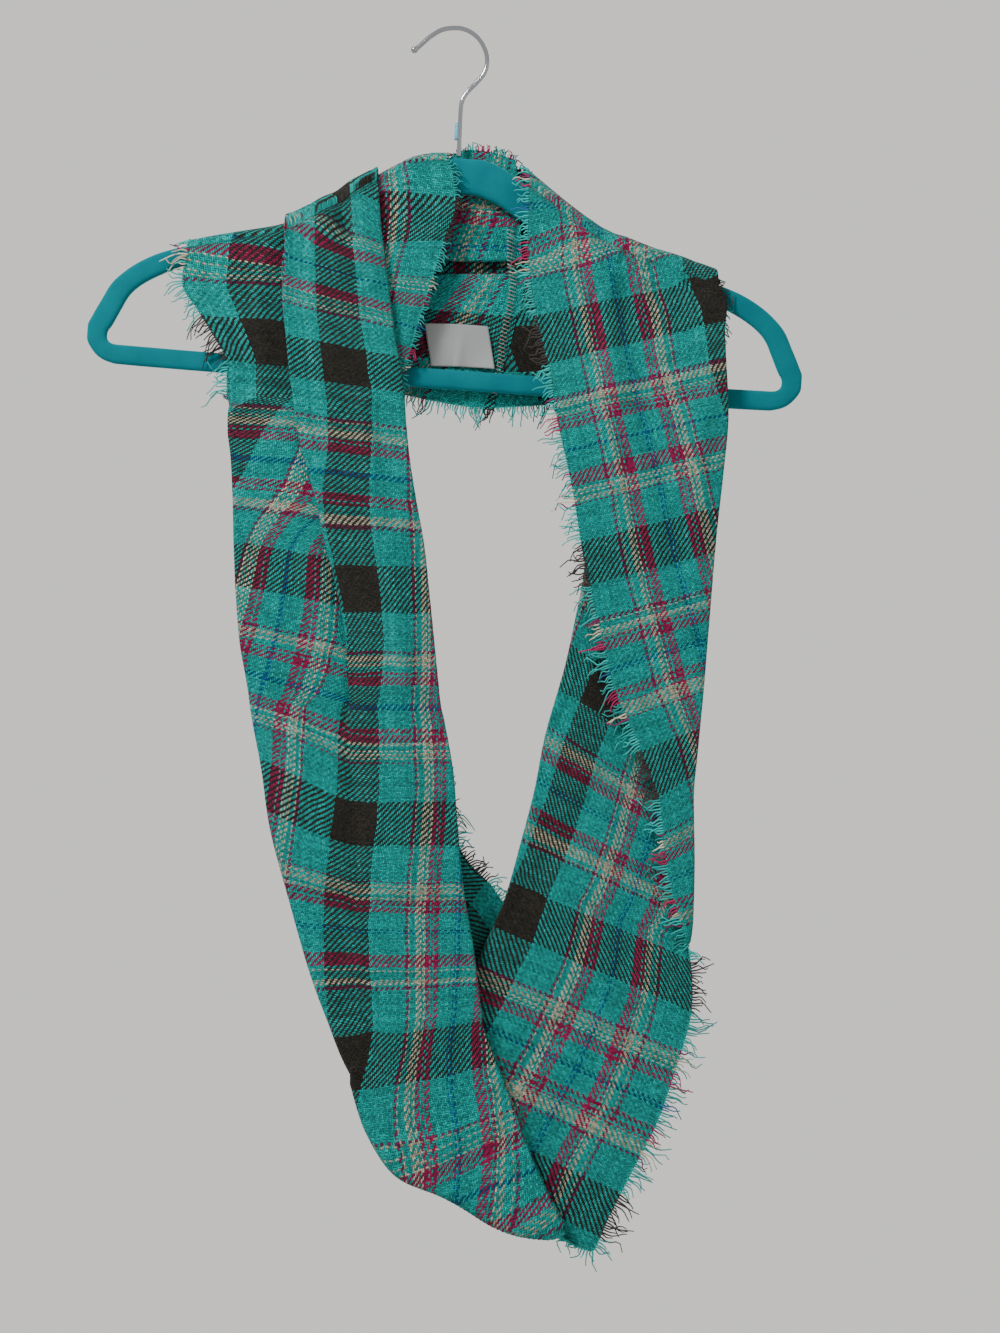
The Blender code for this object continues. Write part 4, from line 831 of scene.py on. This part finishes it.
# ------------------------
# Hanger frame.  One moulded loop of flat bar with rounded edges, covered all over in short
# teal flock; it hangs a little lower on the right.
ROUND = np.linspace(0.0, 2.0 * math.pi, 17)[:-1]
HANGER_TILT = math.radians(4.1)
HANGER_CENTRE = 7.4
HANGER_THICK = 6.4
FRAME = table("out_x out_z in_x in_z", """
  0 -79.8 0 -102.4, 9 -79.8 8 -102.4, 17 -80 14 -103, 24.5 -82.6 19 -104.3, 32 -86.5 26 -107,
  39 -90.4 32 -110.4, 46 -95.8 40 -115.2, 60 -106 53 -123, 80 -120 74 -134.5, 98 -130 93 -143.5,
  124 -136 121 -149, 150 -142 147 -154.7, 172 -148.6 168 -160.6, 184 -153 178.5 -164.8,
  195 -159 187 -169.4, 203.5 -165.5 194 -174.4, 211 -173.5 199.5 -180.5, 216.5 -184 204 -189.5,
  221.5 -194.2 208.5 -199, 224 -201 211 -203, 224 -208 211.5 -206, 221 -214.5 210.8 -208.8,
  215.5 -219.9 208.5 -210.6, 208 -222.8 205 -211.2, 198 -223.6 198 -211.3, 150 -224.2 150 -211.9,
  100 -224.4 100 -212.1, 50 -224.5 50 -212.2
""")
HOOK_LINE = table("x z", """
  -28.2 -12, -26.6 -12.1, -24.9 -11.6, -21 -8.2, -16 -3.9, -8.8 0.3, 0 1.5, 7.6 -0.2, 14.2 -5.2,
  18.4 -12.5, 19.6 -19.4, 17.6 -26.8, 12.8 -32.8, 7.6 -38, 4.4 -42.6, 3.2 -48, 2.7 -56, 2.2 -68,
  1.8 -78.9
""")


def hung(x, y, z):
    """A point of the hanger's own frame, turned about the hook's top by the tilt."""
    c, s = math.cos(HANGER_TILT), math.sin(HANGER_TILT)
    x = x + HANGER_CENTRE
    return np.stack([x * c + z * s, y + 0.0 * x, -x * s + z * c], axis=-1)


def closed_tube(name, rings, material, slot, nodes, endless=False):
    """A tube through rings of points (rings, points, 3), closed on itself or with end caps."""
    n, points = rings.shape[:2]
    index = np.arange(n * points).reshape(n, points)
    follow = np.roll(index, -1, axis=0) if endless else index[1:]
    here = index if endless else index[:-1]
    quads = np.stack([here, np.roll(here, -1, axis=1), np.roll(follow, -1, axis=1), follow], axis=-1)
    caps = [] if endless else [index[0, ::-1].tolist(), index[-1].tolist()]
    return add_piece(name, rings, quads.reshape(-1, 4).tolist() + caps, material, slot, nodes)


def flock():
    """Short upright flock: dark in the pile, pale where it catches light at the edges."""
    n = Nodes("teal_flock")
    place = n.add("ShaderNodeTexCoord", output=3)
    pile = n.noise(place, 2600.0, 4.0)
    tone = n.math("MULTIPLY_ADD", n.noise(place, 60.0, 3.0), 0.5, n.math("MULTIPLY", pile, 0.5))
    return n.finish(Base_Color=n.mix(tone, linear(0, 72, 84), linear(0, 118, 126)), Roughness=1.0,
                    Specular_IOR_Level=0.1, Sheen_Weight=0.8, Sheen_Roughness=0.4,
                    Sheen_Tint=linear(70, 200, 205), bump=(0.5, 0.0003, pile))


frame_at = np.linspace(0.0, len(FRAME["rows"]) - 1.0, 6 * len(FRAME["rows"]))
half = between(FRAME, frame_at)
outer, inner = (np.stack([half[edge + "_x"], half[edge + "_z"]], axis=1) for edge in ("out", "in"))
outer, inner = (np.concatenate([line, line[:0:-1] * (-1.0, 1.0)]) for line in (outer, inner))
wide, deep = (np.sign(v) * np.abs(v) ** 0.6 for v in (np.cos(ROUND), np.sin(ROUND)))
middle = (outer + inner)[:, None] / 2.0 + (outer - inner)[:, None] / 2.0 * wide[None, :, None]
depth = np.broadcast_to(-deep * HANGER_THICK / 2.0, middle.shape[:2])
closed_tube("flocked_frame", hung(middle[..., 0], depth, middle[..., 1]), flock(), "teal_flock",
            ["hanger_frame"], endless=True)


# ------------------------
# Hook.  Bright chromed wire 3 mm thick with a small ball tip, bent to a question mark; its
# stem goes down into the middle of the frame.
HOOK_RADIUS, BALL_RADIUS = 1.5, 2.2
HOOK_POINTS = 140


def chrome():
    """Polished chrome plate."""
    return Nodes("hook_chrome").finish(Base_Color=linear(150, 152, 156), Metallic=1.0, Roughness=0.12)


bend = between(HOOK_LINE, np.linspace(0.0, len(HOOK_LINE["rows"]) - 1.0, HOOK_POINTS))
wire = np.stack([bend["x"], 0.0 * bend["x"], bend["z"]], axis=1)
depthwise = np.array([0.0, 1.0, 0.0])
side = np.cross(unit(np.gradient(wire, axis=0)), depthwise)
walked = walk(wire)
ball = np.sqrt(np.maximum(BALL_RADIUS ** 2 - (walked - BALL_RADIUS) ** 2, 0.0))
ball = ball * (walked < 2 * BALL_RADIUS)
thick = np.where(walked < BALL_RADIUS, np.maximum(ball, 0.3), np.maximum(ball, HOOK_RADIUS))
spoke = side[:, None] * np.cos(ROUND)[:, None] + depthwise * np.sin(ROUND)[:, None]
closed_tube("wire_hook", wire[:, None] + thick[:, None, None] * spoke, chrome(), "chrome", ["hook"])


# ------------------------
# Collar.  A strip of blue plastic film is left on the left side of the stem, just above where
# it enters the frame; it wraps half the wire and stands off it a little.
COLLAR_RADIUS = 2.2
COLLAR_SHIFT = -1.6
COLLAR_TOP, COLLAR_FOOT = -58.0, -68.5


def film():
    """Thin blue plastic film, cloudy where it is crumpled."""
    n = Nodes("blue_film")
    cloud = n.noise(n.add("ShaderNodeTexCoord", output=3), 400.0, 2.0)
    return n.finish(Base_Color=n.mix(cloud, linear(0, 96, 150), linear(70, 190, 210)), Roughness=0.3,
                    bump=(0.3, 0.0003, cloud))


drop = np.linspace(COLLAR_TOP, COLLAR_FOOT, 8)
lower = slice(HOOK_POINTS // 2, None)
stem_x = np.interp(-drop, -bend["z"][lower], bend["x"][lower]) + COLLAR_SHIFT
stem = np.stack([stem_x, 0.0 * drop, drop], axis=1)
around = np.stack([0.75 * np.cos(ROUND), 0.45 * np.sin(ROUND), 0.12 * np.cos(ROUND)], axis=1)
closed_tube("stem_collar", stem[:, None] + COLLAR_RADIUS * around[None], film(), "teal_flock", [])


# ------------------------
# Care label.  A bare tab of white satin tape, 40 mm wide, caught in the seam's turning and
# hanging flat against the cloth behind the neck.
LABEL_LEFT, LABEL_WIDTH, LABEL_SLANT = -20.0, 40.0, 4.2
LABEL_TOP, LABEL_DROP, LABEL_DEPTH = -182.5, 27.0, 4.5


def satin():
    """White satin tape with fine cross ribs; its colour is painted mid grey for the shade it hangs in.
    """
    n = Nodes("white_satin")
    ribs = n.add("ShaderNodeTexWave", output=1, bands_direction="Z", in1=900.0,
                 in0=n.add("ShaderNodeTexCoord", output=3))
    # The white tape's colour is set to a mid grey: painted shade, for the shade it hangs in behind the
    # neck, and partly for the print that is left off it.
    return n.finish(Base_Color=linear(128, 132, 131), Roughness=0.38, Sheen_Weight=0.2,
                    bump=(0.2, 0.0001, ribs))


f, g = np.meshgrid(np.linspace(0.0, 1.0, 36), np.linspace(0.0, 1.0, 28), indexing="ij")
x = LABEL_LEFT + LABEL_WIDTH * f + LABEL_SLANT * g
z = LABEL_TOP - LABEL_DROP * g - 2.0 * f + 0.5 * np.sin(math.pi * f)
y = LABEL_DEPTH + 0.6 * np.sin(3.4 * f + 0.6) * g - 1.6 * (g * f) ** 2
y += 0.3 * np.sin(7.0 * f + 4.0 * g) * g - 0.9 * g * np.exp(-((f - 0.62 + 0.2 * g) / 0.07) ** 2)
label = add_piece("label_tape", np.stack([x, y, z], axis=-1), grid_faces(*f.shape), satin(),
                  "label_satin", ["care_label"])
label.modifiers.new("tape", "SOLIDIFY").thickness = 0.0003


# ------------------------
# Overlocked seam.  The strip's two ends are joined behind the neck; three-thread overlock
# stitches bind the turned-in edges.
STITCH, STITCH_REACH, STITCH_RADIUS = 2.4, 2.4, 0.42
SEAM_DEPTH = 4.3
SEAM_LINE = table("x z", """
  34.4 -123.3, 34.4 -144.6, 36.3 -155.9, 33.8 -174.7, 30 -190.3, 28.2 -207.2, 23.2 -229.7
""")


def thread():
    """Dull spun sewing thread."""
    return Nodes("seam_thread").finish(Base_Color=linear(168, 132, 122), Roughness=0.8)


seam = SEAM_LINE["rows"]
fall = walk(seam)
count = int(fall[-1] / STITCH)
reach = np.linspace(-STITCH_REACH, STITCH_REACH, 7)
down = (np.arange(count)[:, None] + 0.5) * STITCH + np.linspace(-0.5, 0.5, 7)[None, :] * STITCH * 0.8
stitch = np.stack([np.interp(down, fall, seam[:, 0]) + reach[None, :],
                   SEAM_DEPTH + 0.03 * np.abs(reach)[None, :] ** 3 + 0.0 * down,
                   np.interp(down, fall, seam[:, 1])], axis=-1)
yarns("overlock_stitches", stitch, np.zeros(count), np.zeros(count), thread(), "seam_thread",
      ["overlock_seam"], STITCH_RADIUS)


# ------------------------
# Floor, light and camera.
FLOOR_Z = -2.0
FLOOR_RADIUS = 2.0
VIEW_X, VIEW_Z = 0.0275, -0.398
VIEW_HEIGHT = 0.834
VIEW_DISTANCE = 1.3

bpy.ops.mesh.primitive_circle_add(vertices=128, radius=FLOOR_RADIUS, fill_type="NGON",
                                  location=(0.0, 0.0, FLOOR_Z))
floor = bpy.context.object
floor.name = "floor"
floor.data.materials.append(Nodes("plain_floor").finish(Base_Color=(0.80, 0.80, 0.80, 1.0),
                                                        Roughness=0.9))

world = bpy.data.worlds.new("pale_room")
world.use_nodes = True
world.node_tree.nodes["Background"].inputs[0].default_value = (0.90, 0.885, 0.86, 1.0)
world.node_tree.nodes["Background"].inputs[1].default_value = 0.95
bpy.context.scene.world = world


def lamp(name, place, target, size, power):
    """A soft square lamp aimed at a point."""
    light = bpy.data.lights.new(name, "AREA")
    light.shape = "SQUARE"
    light.size = size
    light.energy = power
    holder = bpy.data.objects.new(name, light)
    holder.location = place
    aim = np.array(target) - np.array(place)
    holder.rotation_euler = (math.acos(-aim[2] / np.linalg.norm(aim)), 0.0,
                             math.atan2(aim[1], aim[0]) - math.pi / 2.0)
    bpy.context.collection.objects.link(holder)


lamp("key", (-0.9, -1.1, 0.9), (0.0, 0.0, -0.2), 0.4, 42.0)
lamp("fill", (1.8, -1.4, -0.2), (0.0, 0.0, -0.4), 1.4, 2.5)
lamp("back", (0.6, 1.9, 0.9), (0.0, 0.0, -0.4), 1.2, 12.0)

camera = bpy.data.cameras.new("front")
camera.sensor_width = 36.0
camera.lens = camera.sensor_width * VIEW_DISTANCE / VIEW_HEIGHT
camera_holder = bpy.data.objects.new("front", camera)
camera_holder.location = (VIEW_X, -VIEW_DISTANCE, VIEW_Z)
camera_holder.rotation_euler = (math.pi / 2.0, 0.0, 0.0)
bpy.context.collection.objects.link(camera_holder)
bpy.context.scene.camera = camera_holder
